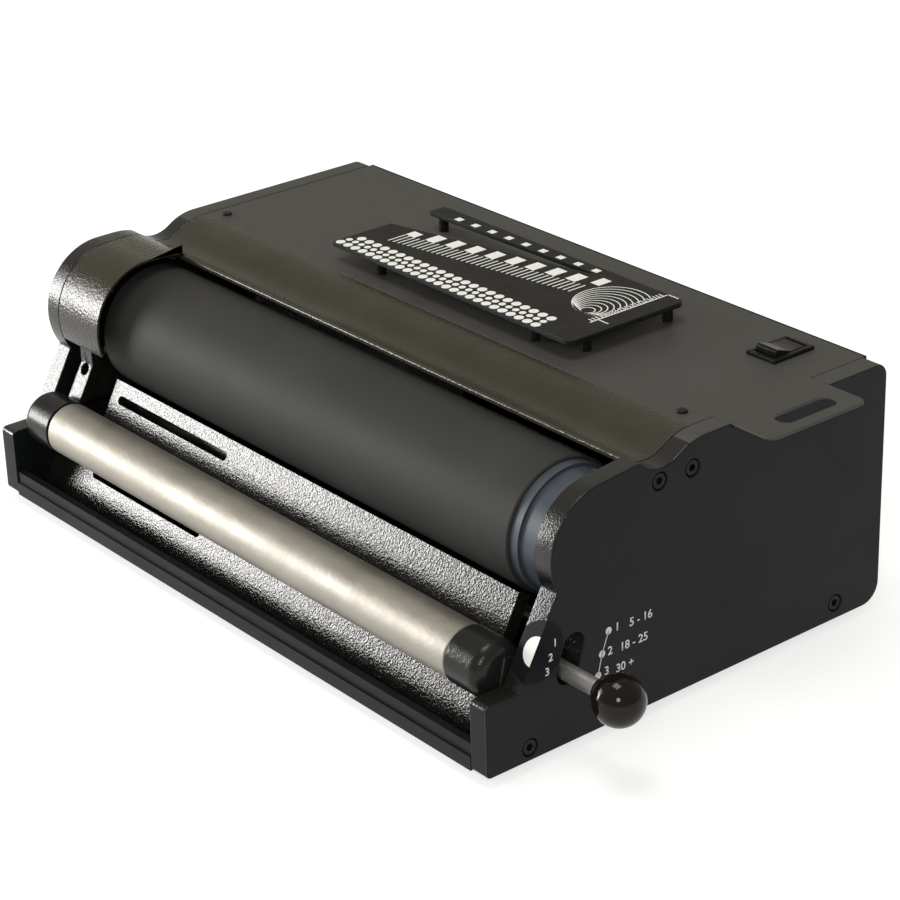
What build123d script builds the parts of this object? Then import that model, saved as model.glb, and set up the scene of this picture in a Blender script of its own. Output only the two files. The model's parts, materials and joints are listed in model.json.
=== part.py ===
from build123d import *
import math
import os

# Tabletop electric coil inserter, in millimetres.
# While it is modelled, x runs from the middle of the machine to its right, y from the front edge to
# the back, and z up from the bottom edge of the side plates. The finished pieces are then moved so
# that the origin lies under the middle of the machine, on the table.

# Overall frame
WIDTH = 457.2
DEPTH = 285.0
HEIGHT = 144.1
PLATE_T = 12.7
SHEET_T = 1.6
SIDE_GAP = 0.2
SEAT_GAP = 0.1
RUN_GAP = 0.05

# Side plate outline
TOE_H = 41.5
TOE_LENGTH = 22.3
SLOPE = 61.0
HUMP_R = 44.5
LIP_Y = 104.0
VALLEY_Y = 119.5
VALLEY_DEPTH = 9.2
LIP_H = 4.8
LIP_BEND = 1.3
NOSE_R = 34.5
BULGE_R = 39.1
BULGE_FORWARD = 11.8
BULGE_APRON = 13.5
HUMP_COVER = 13.5
COVER_Y = 150.0
TOE_CORNER_R = 3.0
TOP_CORNER_R = 8.0
FOOT_CORNER_R = 12.0

# Drive roller
ROLLER_Y = 90.5
ROLLER_DROP = 3.6
ROLLER_R = 38.1
RUBBER_T = 3.6
CORE_T = 3.0
ROLLER_END_LEFT = 28.9
ROLLER_END_RIGHT = 30.9
SHAFT_R = 6.0
JOURNAL_R = 4.0
BEARING_R = 11.0
BEARING_W = 7.0
HUB_R = 34.2
HUB_FLANGE_R = 36.0
HUB_FLANGE_W = 6.0
HUB_EDGE = 1.5
HUB_STEP = 1.0
HUB_GAP = 1.0

# Idler roll and the swing cradle that carries it
ROLL_Y = 23.0
ROLL_Z = 47.0
ROLL_R = 15.9
ROLL_T = 2.0
ROLL_END_LEFT = 29.9
ROLL_END_RIGHT = 28.9
ROLL_END_GAP = 1.0
AXLE_R = 5.0
BOSS_R = 16.5
BOSS_ROUND = 7.0
PIVOT_Y = 155.0
PIVOT_Z = 16.0
PIVOT_R = 6.0
PIVOT_HUB_R = 10.0
PIVOT_SEAT = 6.0
SWING = 8.0
ARM_T = 5.5
ARM_W = 17.0
ARM_GAP = 0.9
TIE_R = 5.0
TIE_REACH = 66.0
COLLAR_T = 6.0

# Lever
LEVER_Y = 54.5
LEVER_Z = 41.5
LEVER_R = 4.75
LEVER_SLOT_W = 14.0
LEVER_OUT = 31.1
KNOB_R = 14.0
DETENT_REACH = 84.0
DETENT_R = 3.0
DIMPLE_R = 3.0
DIMPLE_DEPTH = 0.7

# Inner bearing plate at the left end
INNER_GAP = 7.3
INNER_SETBACK = 5.2
INNER_DROP = 14.1
INNER_REAR = 128.0
INNER_BOTTOM = 58.0
INNER_HOLE_R = 3.5
INNER_HOLE_Z = 76.6
SPACER_R = 5.0
SPACER_OFFSETS = ((-28.5, -12.0), (-20.5, 25.0), (28.0, -8.0))

# Sloped book rest
REST_SLOPE = 62.0
REST_GAP = 2.0
REST_T = 1.5
REST_CLEAR = 1.0
REST_STEP = 25.0
REST_END_LEFT = 33.9
REST_END_RIGHT = 25.9
REST_FOOT = 17.0
REST_SLOT_INSET = 64.0
REST_SLOT_L = 112.0
REST_SLOT_W = 5.0
REST_SLOT_LOW = 20.0
REST_SLOT_DROP = 9.6
REST_FLANGE = 9.0

# Floor, bars, cover and back
PAN_T = 2.0
RAIL_STEP = 8.0
RAIL_H = 15.0
RAIL_T = 6.0
RAIL_SETBACK = 1.2
FRONT_ROD_Y = 28.8
FRONT_ROD_Z = 7.7
FRONT_ROD_R = 4.0
REAR_BAR_INSET = 34.7
REAR_BAR = 16.0
UPPER_BAR_Y = 150.5
UPPER_BAR_W = 33.0
UPPER_BAR_DROP = 16.5
UPPER_BAR_H = 14.0
UPPER_SCREW_Y = 140.8
BRACKET_Y = 117.8
BRACKET = (12.0, 8.0, 8.0)
BACK_INSET = 4.0
BACK_T = 1.5
FLANGE = 12.0
TAB_REACH = 28.0
TAB_Y = (168.0, 240.0)
TAB_T = 2.0
TAB_CORNER_R = 6.0
TAB_SLOT_OUT = 13.8
TAB_SLOT_Y = 208.0
TAB_SLOT_L = 41.0
TAB_SLOT_W = 12.0
POST_INSETS = (10.9, 14.9)
POST_Y = 159.5
POST_R = 5.0

# Screws and feet
PLATE_SCREW_R = 2.5
PLATE_HEAD_R = 4.2
PLATE_HEAD_H = 5.0
COUNTERBORE_R = 5.0
COUNTERBORE_DEPTH = 5.6
HEX_R = 2.3
HEX_DEPTH = 2.5
SMALL_SCREW_R = 1.5
SMALL_HEAD_R = 3.0
SMALL_HEAD_H = 1.4
FOOT_R = 10.0
FOOT_H = 6.0
FOOT_TAPER = 1.5
FOOT_RECESS = 2.5
FOOT_GRIP = 3.0
FOOT_SIDE = 25.0
FOOT_FRONT = 42.0
FOOT_REAR = 54.6

# Air slots in the floor and in the rear panel
FLOOR_VENTS = 6
FLOOR_VENT_PITCH = 16.0
FLOOR_VENT = (6.0, 50.0)
FLOOR_VENT_GAP = 24.0
BACK_VENT_ROWS = 5
BACK_VENT_PITCH = 8.0
BACK_VENT_DROP = 42.0
BACK_VENT_X = (-20.0, 40.0, 100.0)
BACK_VENT = (46.0, 3.4)

# Gauge plate on the cover
GAUGE_X = (-97.0, 113.5)
GAUGE_Y = (160.0, 246.0)
GAUGE_RISE = 8.9
GAUGE_T = 3.0
GAUGE_CORNER_R = 5.0
GAUGE_THREAD = 2.0
WEDGE_TIP = (56.0, 238.0)
WEDGE_MOUTH = (204.0, 234.0)
WEDGE_TIP_R = 1.0
GAUGE_POST_EDGE = 7.0
GAUGE_POST_IN = 37.0
GAUGE_POST_SIDE = 18.0

# Switch
SWITCH_SIDE = 35.9
SWITCH_REAR = 28.0
SWITCH_SIZE = (21.0, 31.0)
SWITCH_LIP = 2.2
SWITCH_BODY = 22.0
SWITCH_WALL = 2.6
SWITCH_WELL = 9.0
ROCKER_GAP = 0.4
ROCKER_END_GAP = 1.0
ROCKER_TILT = 10.0
ROCKER_PIN_R = 1.5
ROCKER_RISE = 4.4
ROCKER_DIP = 2.6
ROCKER_SIDE = 1.5
ROCKER_DEEP = 4.0
ROCKER_TAPER = 0.8
ROCKER_ROUND = 1.6

# Drive
MOTOR_BEHIND = 40.0
MOTOR_Z = 62.0
GEARBOX = (38.0, 64.0, 64.0)
MOTOR_R = 30.0
MOTOR_L = 92.0
BRACKET_T = 3.0
OUTPUT_R = 5.0
BIG_PULLEY_R = 26.0
SMALL_PULLEY_R = 12.0
PULLEY_RIM = 2.2
PULLEY_RIM_T = 0.8
BELT_W = 4.0
BELT_T = 1.5
BELT_GAP = 0.3

# Electrical parts
INLET_SIDE = 65.9
INLET_Z = 40.0
INLET_FLANGE = (50.0, 28.0)
INLET_BODY = (28.0, 22.0, 24.0)
INLET_WELL = (24.0, 17.0, 16.0)
INLET_PIN = (2.0, 12.0, 4.0)
INLET_PINS = ((-7.0, -3.0), (7.0, -3.0), (0.0, 3.5))
INLET_SCREWS = 40.0
JACK_FROM_INLET = 55.0
JACK_Z = 40.0
JACK_R = 6.0
JACK_NUT_R = 8.0
JACK_BORE_R = 1.8
BOARD_W = 90.0
BOARD_SIDE = 45.9
BOARD_SHAFT_GAP = 7.0
BOARD_BAR_GAP = 4.3
BOARD_Z = 12.0
BOARD_T = 1.6
BOARD_EDGE = 5.0
RELAY = (28.0, 12.0, 20.0)
TERMINALS = (28.0, 10.0, 12.0)
SINK = (22.0, 24.0, 18.0)
SINK_FINS = 5
SINK_FIN_T = 2.0
SINK_BASE_T = 3.0
CAN_R = 5.0
CAN_H = 22.0
PART_GAP = 4.0
CAPACITOR_R = 18.0
CAPACITOR_L = 70.0
CAPACITOR_GAP = 5.0
CLIP_FOOT = 25.0

# Places that follow from the sizes above
INNER_X = WIDTH / 2 - PLATE_T
SHEET_X = INNER_X - SIDE_GAP
BACK_Y = DEPTH - BACK_INSET
ROLLER_LEFT = ROLLER_END_LEFT - INNER_X
ROLLER_RIGHT = INNER_X - ROLLER_END_RIGHT
ROLL_LEFT = ROLL_END_LEFT - INNER_X
ROLL_RIGHT = INNER_X - ROLL_END_RIGHT
REST_LEFT = REST_END_LEFT - INNER_X
REST_RIGHT = INNER_X - REST_END_RIGHT
REAR_BAR_Y = DEPTH - REAR_BAR_INSET
REAR_BAR_Z = PAN_T + REAR_BAR / 2
UPPER_BAR_Z = HEIGHT - UPPER_BAR_DROP
POST_X = (POST_INSETS[0] - INNER_X, INNER_X - POST_INSETS[1])
HUMP_Z = HEIGHT - HUMP_R
ROLLER_Z = HUMP_Z - ROLLER_DROP
REST_BASE_Y = ROLL_Y + (ROLL_R + REST_GAP) * math.sin(math.radians(REST_SLOPE))
REST_BASE_Z = ROLL_Z - (ROLL_R + REST_GAP) * math.cos(math.radians(REST_SLOPE))
LIP_Z = HUMP_Z + math.sqrt(HUMP_R**2 - (LIP_Y - ROLLER_Y) ** 2)
BULGE_Y = ROLLER_Y - BULGE_FORWARD
BULGE_Z = HEIGHT - BULGE_R
HUMP_RIGHT = ROLLER_LEFT + HUMP_COVER
VALLEY_Z = HEIGHT - VALLEY_DEPTH
LIP_DROP = LIP_Z - VALLEY_Z
VALLEY_R = ((VALLEY_Y - LIP_Y) ** 2 + LIP_DROP**2) / (2 * LIP_DROP)
VALLEY_CENTRE_Z = VALLEY_Z + VALLEY_R
RISE = VALLEY_CENTRE_Z - HEIGHT
SHOULDER_RUN = COVER_Y - VALLEY_Y
SHOULDER_R = (SHOULDER_RUN**2 + RISE**2 - VALLEY_R**2) / (2 * (VALLEY_R - RISE))
BEND_ANGLE = math.degrees(math.atan2(-(RISE + SHOULDER_R), SHOULDER_RUN))
COVER_TOP = HEIGHT
COVER_UNDER = HEIGHT - SHEET_T
ARM_OUT = INNER_X - ARM_GAP
ARM_IN = ARM_OUT - ARM_T
INNER_LEFT = -INNER_X + INNER_GAP
INNER_RIGHT = INNER_LEFT + PLATE_T
KNOB_X = WIDTH / 2 + LEVER_OUT + KNOB_R / 2
LEVER_REACH = math.hypot(LEVER_Y - PIVOT_Y, LEVER_Z - PIVOT_Z)
LEVER_ANGLE = math.degrees(math.atan2(LEVER_Z - PIVOT_Z, LEVER_Y - PIVOT_Y))
ARM_ANGLE = math.degrees(math.atan2(ROLL_Z - PIVOT_Z, ROLL_Y - PIVOT_Y))
BACK_OUT = BACK_Y + BACK_T
PULLEY_X = ROLLER_LEFT - HUB_STEP - PULLEY_RIM_T - BELT_GAP - BELT_W / 2
MOTOR_Y = PIVOT_Y + MOTOR_BEHIND
GAUGE_Z = COVER_TOP + GAUGE_RISE
SWITCH_X = INNER_X - SWITCH_SIDE
SWITCH_Y = BACK_Y - SWITCH_REAR
TAB_SLOT_X = WIDTH / 2 + TAB_SLOT_OUT
INLET_X = INLET_SIDE - INNER_X
JACK_X = INLET_X + JACK_FROM_INLET
BAR_FRONT = REAR_BAR_Y - REAR_BAR / 2
SHAFT_BACK = PIVOT_Y + PIVOT_R
BOARD_X = (INNER_X - BOARD_SIDE - BOARD_W, INNER_X - BOARD_SIDE)
BOARD_Y = (SHAFT_BACK + BOARD_SHAFT_GAP, BAR_FRONT - BOARD_BAR_GAP)
BOARD_TOP = BOARD_Z + BOARD_T
CAPACITOR_X = BOARD_X[0] - CAPACITOR_GAP - CAPACITOR_L / 2
CAPACITOR_Y = SHAFT_BACK + CAPACITOR_GAP + CAPACITOR_R
CAPACITOR_Z = PAN_T + SHEET_T + CAPACITOR_R

PLATE_SCREWS = (
    (BRACKET_Y, UPPER_BAR_Z),
    (UPPER_SCREW_Y, UPPER_BAR_Z),
    (REAR_BAR_Y, REAR_BAR_Z),
    (FRONT_ROD_Y, FRONT_ROD_Z),
)

# The machine's frame is moved so that its box stands centred on the table
SPAN_LEFT = -WIDTH / 2
SPAN_RIGHT = KNOB_X + KNOB_R
TO_TABLE = Pos(-(SPAN_LEFT + SPAN_RIGHT) / 2, -DEPTH / 2, FOOT_H)


# Small helpers for shapes drawn in the side view

def around(y, z, radius, angle):
    """Point at an angle round a centre, in the side view."""
    turn = math.radians(angle)
    return (y + radius * math.cos(turn), z + radius * math.sin(turn))


def on_slope(along, out=0.0):
    """Point so far up the slanted edge of the side plates, and so far in front of it."""
    turn = math.radians(SLOPE)
    return (
        TOE_LENGTH + along * math.cos(turn) - out * math.sin(turn),
        TOE_H + along * math.sin(turn) + out * math.cos(turn),
    )


def arc(y, z, radius, start, end):
    """Edge round a centre from one angle to another."""
    middle = (start + end) / 2
    return ThreePointArc(
        around(y, z, radius, start), around(y, z, radius, middle), around(y, z, radius, end)
    )


def outline(*edges):
    """Face in the side view from edges that follow each other."""
    return Plane.YZ * make_face(Curve() + list(edges))


def slab(face, left, right):
    """A side-view face given its width along x."""
    return Pos(left, 0, 0) * extrude(face, right - left)


def rod(y, z, radius, left, right):
    """Round bar along x."""
    return Pos((left + right) / 2, y, z) * Rot(0, 90, 0) * Cylinder(radius, right - left)


def upright(x, y, radius, bottom, top):
    """Round bar along z."""
    return Pos(x, y, (bottom + top) / 2) * Cylinder(radius, top - bottom)


def block(x, y, z):
    """Box between pairs of limits."""
    size = (x[1] - x[0], y[1] - y[0], z[1] - z[0])
    return Pos((x[0] + x[1]) / 2, (y[0] + y[1]) / 2, (z[0] + z[1]) / 2) * Box(*size)


def corner(face, y, z):
    """Vertex of a side-view face nearest to a point."""
    return face.vertices().sort_by_distance(Vector(0, y, z))[0]


def group(pieces):
    """Separate solids that share one name."""
    return Compound([solid for piece in pieces for solid in piece.solids()])


# Side plates, cut from thick plate to one outline

def hump_start():
    return math.degrees(math.atan2(LIP_Z - HUMP_Z, LIP_Y - ROLLER_Y))


def shoulder(inset=0.0):
    """S-curve from the lip over the roller, through the valley, up to the cover."""
    reach = VALLEY_R + inset
    start = -180 + math.degrees(math.asin((VALLEY_CENTRE_Z - valley_edge(inset)) / reach))
    rise_end = BEND_ANGLE
    valley = arc(VALLEY_Y, VALLEY_CENTRE_Z, reach, start, rise_end)
    crest = arc(COVER_Y, HEIGHT - SHOULDER_R, SHOULDER_R - inset, 180 + BEND_ANGLE, 90)
    return valley, crest


def valley_edge(inset):
    """Height of the valley curve at the lip."""
    reach = VALLEY_R + inset
    return VALLEY_CENTRE_Z - math.sqrt(reach**2 - (VALLEY_Y - LIP_Y) ** 2)


def nose_angle(radius):
    """Where the slanted edge runs into a rounded nose."""
    turn = math.radians(SLOPE)
    forward = BULGE_Y - TOE_LENGTH
    upward = BULGE_Z - TOE_H
    along = forward * math.cos(turn) + upward * math.sin(turn)
    off = upward * math.cos(turn) - forward * math.sin(turn)
    reach = along - math.sqrt(radius**2 - off**2)
    y, z = TOE_LENGTH + reach * math.cos(turn), TOE_H + reach * math.sin(turn)
    return 180 + math.degrees(math.atan2(BULGE_Z - z, BULGE_Y - y))


def right_nose():
    """Front of the right plate: a rounded nose and a straight edge up to the lip."""
    start = nose_angle(NOSE_R)
    forward = LIP_Y - BULGE_Y
    upward = LIP_Z - BULGE_Z
    tangent = math.acos(NOSE_R / math.hypot(forward, upward))
    top = math.degrees(math.atan2(upward, forward) + tangent)
    return (
        Line((TOE_LENGTH, TOE_H), around(BULGE_Y, BULGE_Z, NOSE_R, start)),
        arc(BULGE_Y, BULGE_Z, NOSE_R, start, top),
        Line(around(BULGE_Y, BULGE_Z, NOSE_R, top), (LIP_Y, LIP_Z)),
    )


def left_nose():
    """Front of the left plate, which swells out as far as the formed sheet beside it."""
    start = nose_angle(BULGE_R)
    return (
        Line((TOE_LENGTH, TOE_H), around(BULGE_Y, BULGE_Z, BULGE_R, start)),
        arc(BULGE_Y, BULGE_Z, BULGE_R, start, 90),
        Line((BULGE_Y, HEIGHT), (ROLLER_Y, HEIGHT)),
        arc(ROLLER_Y, HUMP_Z, HUMP_R, 90, hump_start()),
    )


def plate_outline(nose):
    valley, crest = shoulder()
    face = outline(
        Line((DEPTH, HEIGHT), (DEPTH, 0)),
        Line((DEPTH, 0), (0, 0)),
        Line((0, 0), (0, TOE_H)),
        Line((0, TOE_H), (TOE_LENGTH, TOE_H)),
        *nose,
        valley,
        crest,
        Line((COVER_Y, HEIGHT), (DEPTH, HEIGHT)),
    )
    face = fillet([corner(face, 0, 0), corner(face, 0, TOE_H)], TOE_CORNER_R)
    face = fillet(corner(face, DEPTH, HEIGHT), TOP_CORNER_R)
    return fillet(corner(face, DEPTH, 0), FOOT_CORNER_R)


def side_plate(side, nose):
    """Left plate for side -1, right plate for side 1."""
    inner = side * INNER_X
    outer = side * WIDTH / 2
    plate = slab(plate_outline(nose), min(inner, outer), max(inner, outer))
    for y, z in PLATE_SCREWS:
        sink = outer - side * COUNTERBORE_DEPTH
        plate -= rod(y, z, PLATE_SCREW_R + SEAT_GAP, min(inner, outer), max(inner, outer))
        plate -= rod(y, z, COUNTERBORE_R, min(sink, outer), max(sink, outer))
    seat = inner + side * (PIVOT_SEAT + SEAT_GAP)
    plate -= rod(PIVOT_Y, PIVOT_Z, PIVOT_R + RUN_GAP, min(inner, seat), max(inner, seat))
    return plate


def left_side_plate():
    return side_plate(-1, left_nose())


def right_side_plate():
    """Adds the bearing pocket, the curved lever slot, the detents and the notch under the tab."""
    plate = side_plate(1, right_nose())
    plate -= rod(ROLLER_Y, ROLLER_Z, BEARING_R + RUN_GAP, INNER_X, INNER_X + BEARING_W + HUB_GAP)
    path = CenterArc((PIVOT_Y, PIVOT_Z), LEVER_REACH, LEVER_ANGLE - SWING, SWING)
    plate -= slab(Plane.YZ * SlotArc(path, LEVER_SLOT_W), INNER_X, WIDTH / 2)
    for step in range(3):
        y, z = around(PIVOT_Y, PIVOT_Z, DETENT_REACH, ARM_ANGLE - step * SWING / 2)
        plate -= rod(y, z, DIMPLE_R, INNER_X, INNER_X + DIMPLE_DEPTH)
    notch = (TAB_Y[0] - SEAT_GAP, TAB_Y[1] + SEAT_GAP)
    return plate - block((INNER_X, WIDTH / 2), notch, (HEIGHT - TAB_T, HEIGHT))


def plate_screws():
    """Socket head screws in the counterbores of both plates."""
    pieces = []
    for side in (-1, 1):
        outer = side * WIDTH / 2
        seat = outer - side * COUNTERBORE_DEPTH
        face = seat + side * PLATE_HEAD_H
        socket = face - side * HEX_DEPTH
        tip = side * (INNER_X - PLATE_T / 2)
        for y, z in PLATE_SCREWS:
            screw = rod(y, z, PLATE_HEAD_R, min(seat, face), max(seat, face))
            screw += rod(y, z, PLATE_SCREW_R, min(seat, tip), max(seat, tip))
            hexagon = Plane.YZ * Pos(y, z) * RegularPolygon(HEX_R, 6)
            pieces.append(screw - slab(hexagon, min(socket, face), max(socket, face)))
    return group(pieces)


def tapped(bar):
    """Screw holes in the ends of a cross bar."""
    for side in (-1, 1):
        tip = side * (INNER_X - PLATE_T / 2 - SEAT_GAP)
        for y, z in PLATE_SCREWS:
            bar -= rod(y, z, PLATE_SCREW_R + SEAT_GAP, min(side * INNER_X, tip), max(side * INNER_X, tip))
    return bar


# Formed sheet over the roller: the hump at its left end and the S-shaped shoulder

def shoulder_profile():
    """Valley and crest of the sheet with its lip turned down behind the roller."""
    valley, crest = shoulder()
    under_crest = shoulder(SHEET_T)[1]
    lip_back = LIP_Y + SHEET_T
    reach = VALLEY_R + SHEET_T
    back_angle = -math.degrees(math.acos((lip_back - VALLEY_Y) / reach))
    under_valley = arc(VALLEY_Y, VALLEY_CENTRE_Z, reach, back_angle, BEND_ANGLE)
    start = under_valley @ 0
    bottom = LIP_Z - LIP_H
    return outline(
        valley,
        crest,
        Line((COVER_Y, HEIGHT), (COVER_Y, COVER_UNDER)),
        under_crest,
        under_valley,
        Line((start.X, start.Y), (lip_back, bottom)),
        Line((lip_back, bottom), (LIP_Y, bottom)),
        Line((LIP_Y, bottom), (LIP_Y, LIP_Z)),
    )


def hump_profile():
    """Sheet that wraps the end of the roller from the lip round to the hem at the front."""
    inner = HUMP_R - SHEET_T
    inner_end = math.degrees(math.acos((LIP_Y - ROLLER_Y) / inner))
    ceiling = HEIGHT - SHEET_T
    apron = 180 + math.degrees(math.asin(BULGE_APRON / BULGE_R))
    hem = around(BULGE_Y, BULGE_Z, BULGE_R, apron)
    inner_hem = around(BULGE_Y, BULGE_Z, BULGE_R - SHEET_T, apron)
    return outline(
        Line(inner_hem, hem),
        arc(BULGE_Y, BULGE_Z, BULGE_R, apron, 90),
        Line((BULGE_Y, HEIGHT), (ROLLER_Y, HEIGHT)),
        arc(ROLLER_Y, HUMP_Z, HUMP_R, 90, hump_start()),
        Line((LIP_Y, LIP_Z), around(ROLLER_Y, HUMP_Z, inner, inner_end)),
        arc(ROLLER_Y, HUMP_Z, inner, inner_end, 90),
        Line((ROLLER_Y, ceiling), (BULGE_Y, ceiling)),
        arc(BULGE_Y, BULGE_Z, BULGE_R - SHEET_T, 90, apron),
    )


def roller_shroud():
    """The lip has a rounded bend to the right of the hump."""
    face = shoulder_profile()
    bent_face = fillet(corner(face, LIP_Y, LIP_Z), LIP_BEND)
    hump = slab(hump_profile(), -SHEET_X, HUMP_RIGHT) + slab(face, -SHEET_X, HUMP_RIGHT)
    return hump + slab(bent_face, HUMP_RIGHT, SHEET_X)


def shroud_brackets():
    """Short blocks that carry the ends of the shroud."""
    length, width, height = BRACKET
    top = VALLEY_Z - SHEET_T
    low = UPPER_BAR_Z - height / 2
    wide = (BRACKET_Y - width / 2, BRACKET_Y + width / 2)
    ends = ((-INNER_X, -INNER_X + INNER_GAP - SEAT_GAP), (INNER_X - length, INNER_X))
    return group(tapped(block(end, wide, (low, top))) for end in ends)


# Inner bearing plate beside the left side plate, with its spacers

def spacer_places():
    return tuple((ROLLER_Y + along, ROLLER_Z + up) for along, up in SPACER_OFFSETS)


def inner_bearing_plate():
    foot = on_slope((INNER_BOTTOM - TOE_H) / math.sin(math.radians(SLOPE)), -INNER_SETBACK)
    inner = HUMP_R - SHEET_T - SEAT_GAP * 4
    nose = ROLLER_Y - inner
    nose_z = foot[1] + (nose - foot[0]) * math.tan(math.radians(SLOPE))
    top_angle = 180 - math.degrees(math.asin((HEIGHT - INNER_DROP - HUMP_Z) / inner))
    top = around(ROLLER_Y, HUMP_Z, inner, top_angle)
    face = outline(
        Line(foot, (nose, nose_z)),
        Line((nose, nose_z), (nose, HUMP_Z)),
        arc(ROLLER_Y, HUMP_Z, inner, 180, top_angle),
        Line(top, (BRACKET_Y - BRACKET[1], top[1])),
        Line((BRACKET_Y - BRACKET[1], top[1]), (INNER_REAR, HUMP_Z)),
        Line((INNER_REAR, HUMP_Z), (INNER_REAR, foot[1])),
        Line((INNER_REAR, foot[1]), foot),
    )
    plate = slab(face, INNER_LEFT, INNER_RIGHT)
    bearing_left = INNER_RIGHT - BEARING_W
    plate -= rod(ROLLER_Y, ROLLER_Z, BEARING_R + RUN_GAP, bearing_left, INNER_RIGHT)
    plate -= rod(ROLLER_Y, ROLLER_Z, BEARING_R - HUB_STEP, INNER_LEFT, bearing_left)
    for y, z in spacer_places():
        plate -= rod(y, z, PLATE_SCREW_R + SEAT_GAP, INNER_LEFT, INNER_RIGHT)
    y, z = on_slope((INNER_HOLE_Z - TOE_H) / math.sin(math.radians(SLOPE)), -INNER_SETBACK)
    hole = Pos((INNER_LEFT + INNER_RIGHT) / 2, y, z) * Rot(SLOPE, 0, 0)
    return plate - hole * Cylinder(INNER_HOLE_R, 2 * PLATE_T)


def bearing_plate_spacers():
    pieces = []
    for y, z in spacer_places():
        ring = rod(y, z, SPACER_R, -INNER_X, INNER_LEFT)
        pieces.append(ring - rod(y, z, PLATE_SCREW_R + SEAT_GAP, -INNER_X, INNER_LEFT))
    return group(pieces)


def bearing_plate_screws():
    pieces = []
    for y, z in spacer_places():
        screw = rod(y, z, PLATE_SCREW_R, -INNER_X, INNER_RIGHT)
        screw += rod(y, z, PLATE_HEAD_R, INNER_RIGHT, INNER_RIGHT + SMALL_HEAD_H)
        pieces.append(screw)
    return group(pieces)


# Cross bars, floor, rail and book rest

def front_tie_rod():
    return tapped(rod(FRONT_ROD_Y, FRONT_ROD_Z, FRONT_ROD_R, -INNER_X, INNER_X))


def rear_tie_bar():
    half = REAR_BAR / 2
    wide = (REAR_BAR_Y - half, REAR_BAR_Y + half)
    return tapped(block((-INNER_X, INNER_X), wide, (PAN_T, PAN_T + REAR_BAR)))


def upper_tie_bar():
    """Flat bar under the shoulder that the cover posts stand on."""
    wide = (UPPER_BAR_Y - UPPER_BAR_W / 2, UPPER_BAR_Y + UPPER_BAR_W / 2)
    tall = (UPPER_BAR_Z - UPPER_BAR_H / 2, UPPER_BAR_Z + UPPER_BAR_H / 2)
    return tapped(block((-INNER_X, INNER_X), wide, tall))


def cover_posts():
    bottom = UPPER_BAR_Z + UPPER_BAR_H / 2
    pieces = []
    for x in POST_X:
        post = upright(x, POST_Y, POST_R, bottom, COVER_UNDER)
        pieces.append(post - upright(x, POST_Y, SMALL_SCREW_R + SEAT_GAP, bottom, COVER_UNDER))
    return group(pieces)


def front_rail():
    """Two-step bar between the toes."""
    face = outline(
        Polyline(
            (0, 0), (0, RAIL_STEP), (RAIL_SETBACK, RAIL_STEP), (RAIL_SETBACK, RAIL_H),
            (RAIL_T, RAIL_H), (RAIL_T, 0), (0, 0),
        )
    )
    return slab(face, -SHEET_X, SHEET_X)


def base_pan():
    """Floor sheet with an upturned edge behind the rail and at the back."""
    front = RAIL_T + SEAT_GAP
    floor = block((-SHEET_X, SHEET_X), (front, BACK_Y), (0, PAN_T))
    floor += block((-SHEET_X, SHEET_X), (front, front + PAN_T), (0, RAIL_STEP))
    floor += block((-SHEET_X, SHEET_X), (BACK_Y - PAN_T, BACK_Y), (0, FLANGE))
    first = motor_face() + GEARBOX[0] + FLOOR_VENT_GAP
    width, length = FLOOR_VENT
    for step in range(FLOOR_VENTS):
        x = first + step * FLOOR_VENT_PITCH
        floor -= block((x, x + width), (MOTOR_Y - length / 2, MOTOR_Y + length / 2), (0, PAN_T))
    for x, y in foot_places():
        floor -= upright(x, y, SMALL_SCREW_R + SEAT_GAP, 0, PAN_T)
    return floor


def foot_places():
    side = INNER_X - FOOT_SIDE
    return tuple((x, y) for x in (-side, side) for y in (FOOT_FRONT, DEPTH - FOOT_REAR))


def rubber_feet():
    pieces = []
    for x, y in foot_places():
        foot = Pos(x, y, -FOOT_H / 2) * Cone(FOOT_R - FOOT_TAPER, FOOT_R, FOOT_H)
        foot -= upright(x, y, SMALL_HEAD_R + SEAT_GAP, -FOOT_H, -FOOT_H + FOOT_RECESS)
        pieces.append(foot - upright(x, y, SMALL_SCREW_R + SEAT_GAP, -FOOT_H, 0))
    return group(pieces)


def foot_screws():
    pieces = []
    seat = -FOOT_H + FOOT_RECESS
    for x, y in foot_places():
        screw = upright(x, y, SMALL_HEAD_R, seat - SMALL_HEAD_H, seat)
        pieces.append(screw + upright(x, y, SMALL_SCREW_R, seat, PAN_T + FOOT_GRIP))
    return group(pieces)


def rest_point(height, depth=0.0):
    """Point on the front of the rest's face at a height, or so far behind it."""
    turn = math.radians(REST_SLOPE)
    y = REST_BASE_Y + (height - REST_BASE_Z) / math.tan(turn)
    return (y + depth * math.sin(turn), height - depth * math.cos(turn))


def rest_top():
    """Height at which the strips behind the rest are just clear of the roller."""
    turn = math.radians(REST_SLOPE)
    across = ROLLER_Y - REST_BASE_Y
    rise = ROLLER_Z - REST_BASE_Z
    aside = across * math.sin(turn) - rise * math.cos(turn) - REST_FLANGE
    along = across * math.cos(turn) + rise * math.sin(turn)
    reach = along - math.sqrt((ROLLER_R + REST_CLEAR) ** 2 - aside**2)
    return REST_BASE_Z + reach * math.sin(turn)


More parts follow.
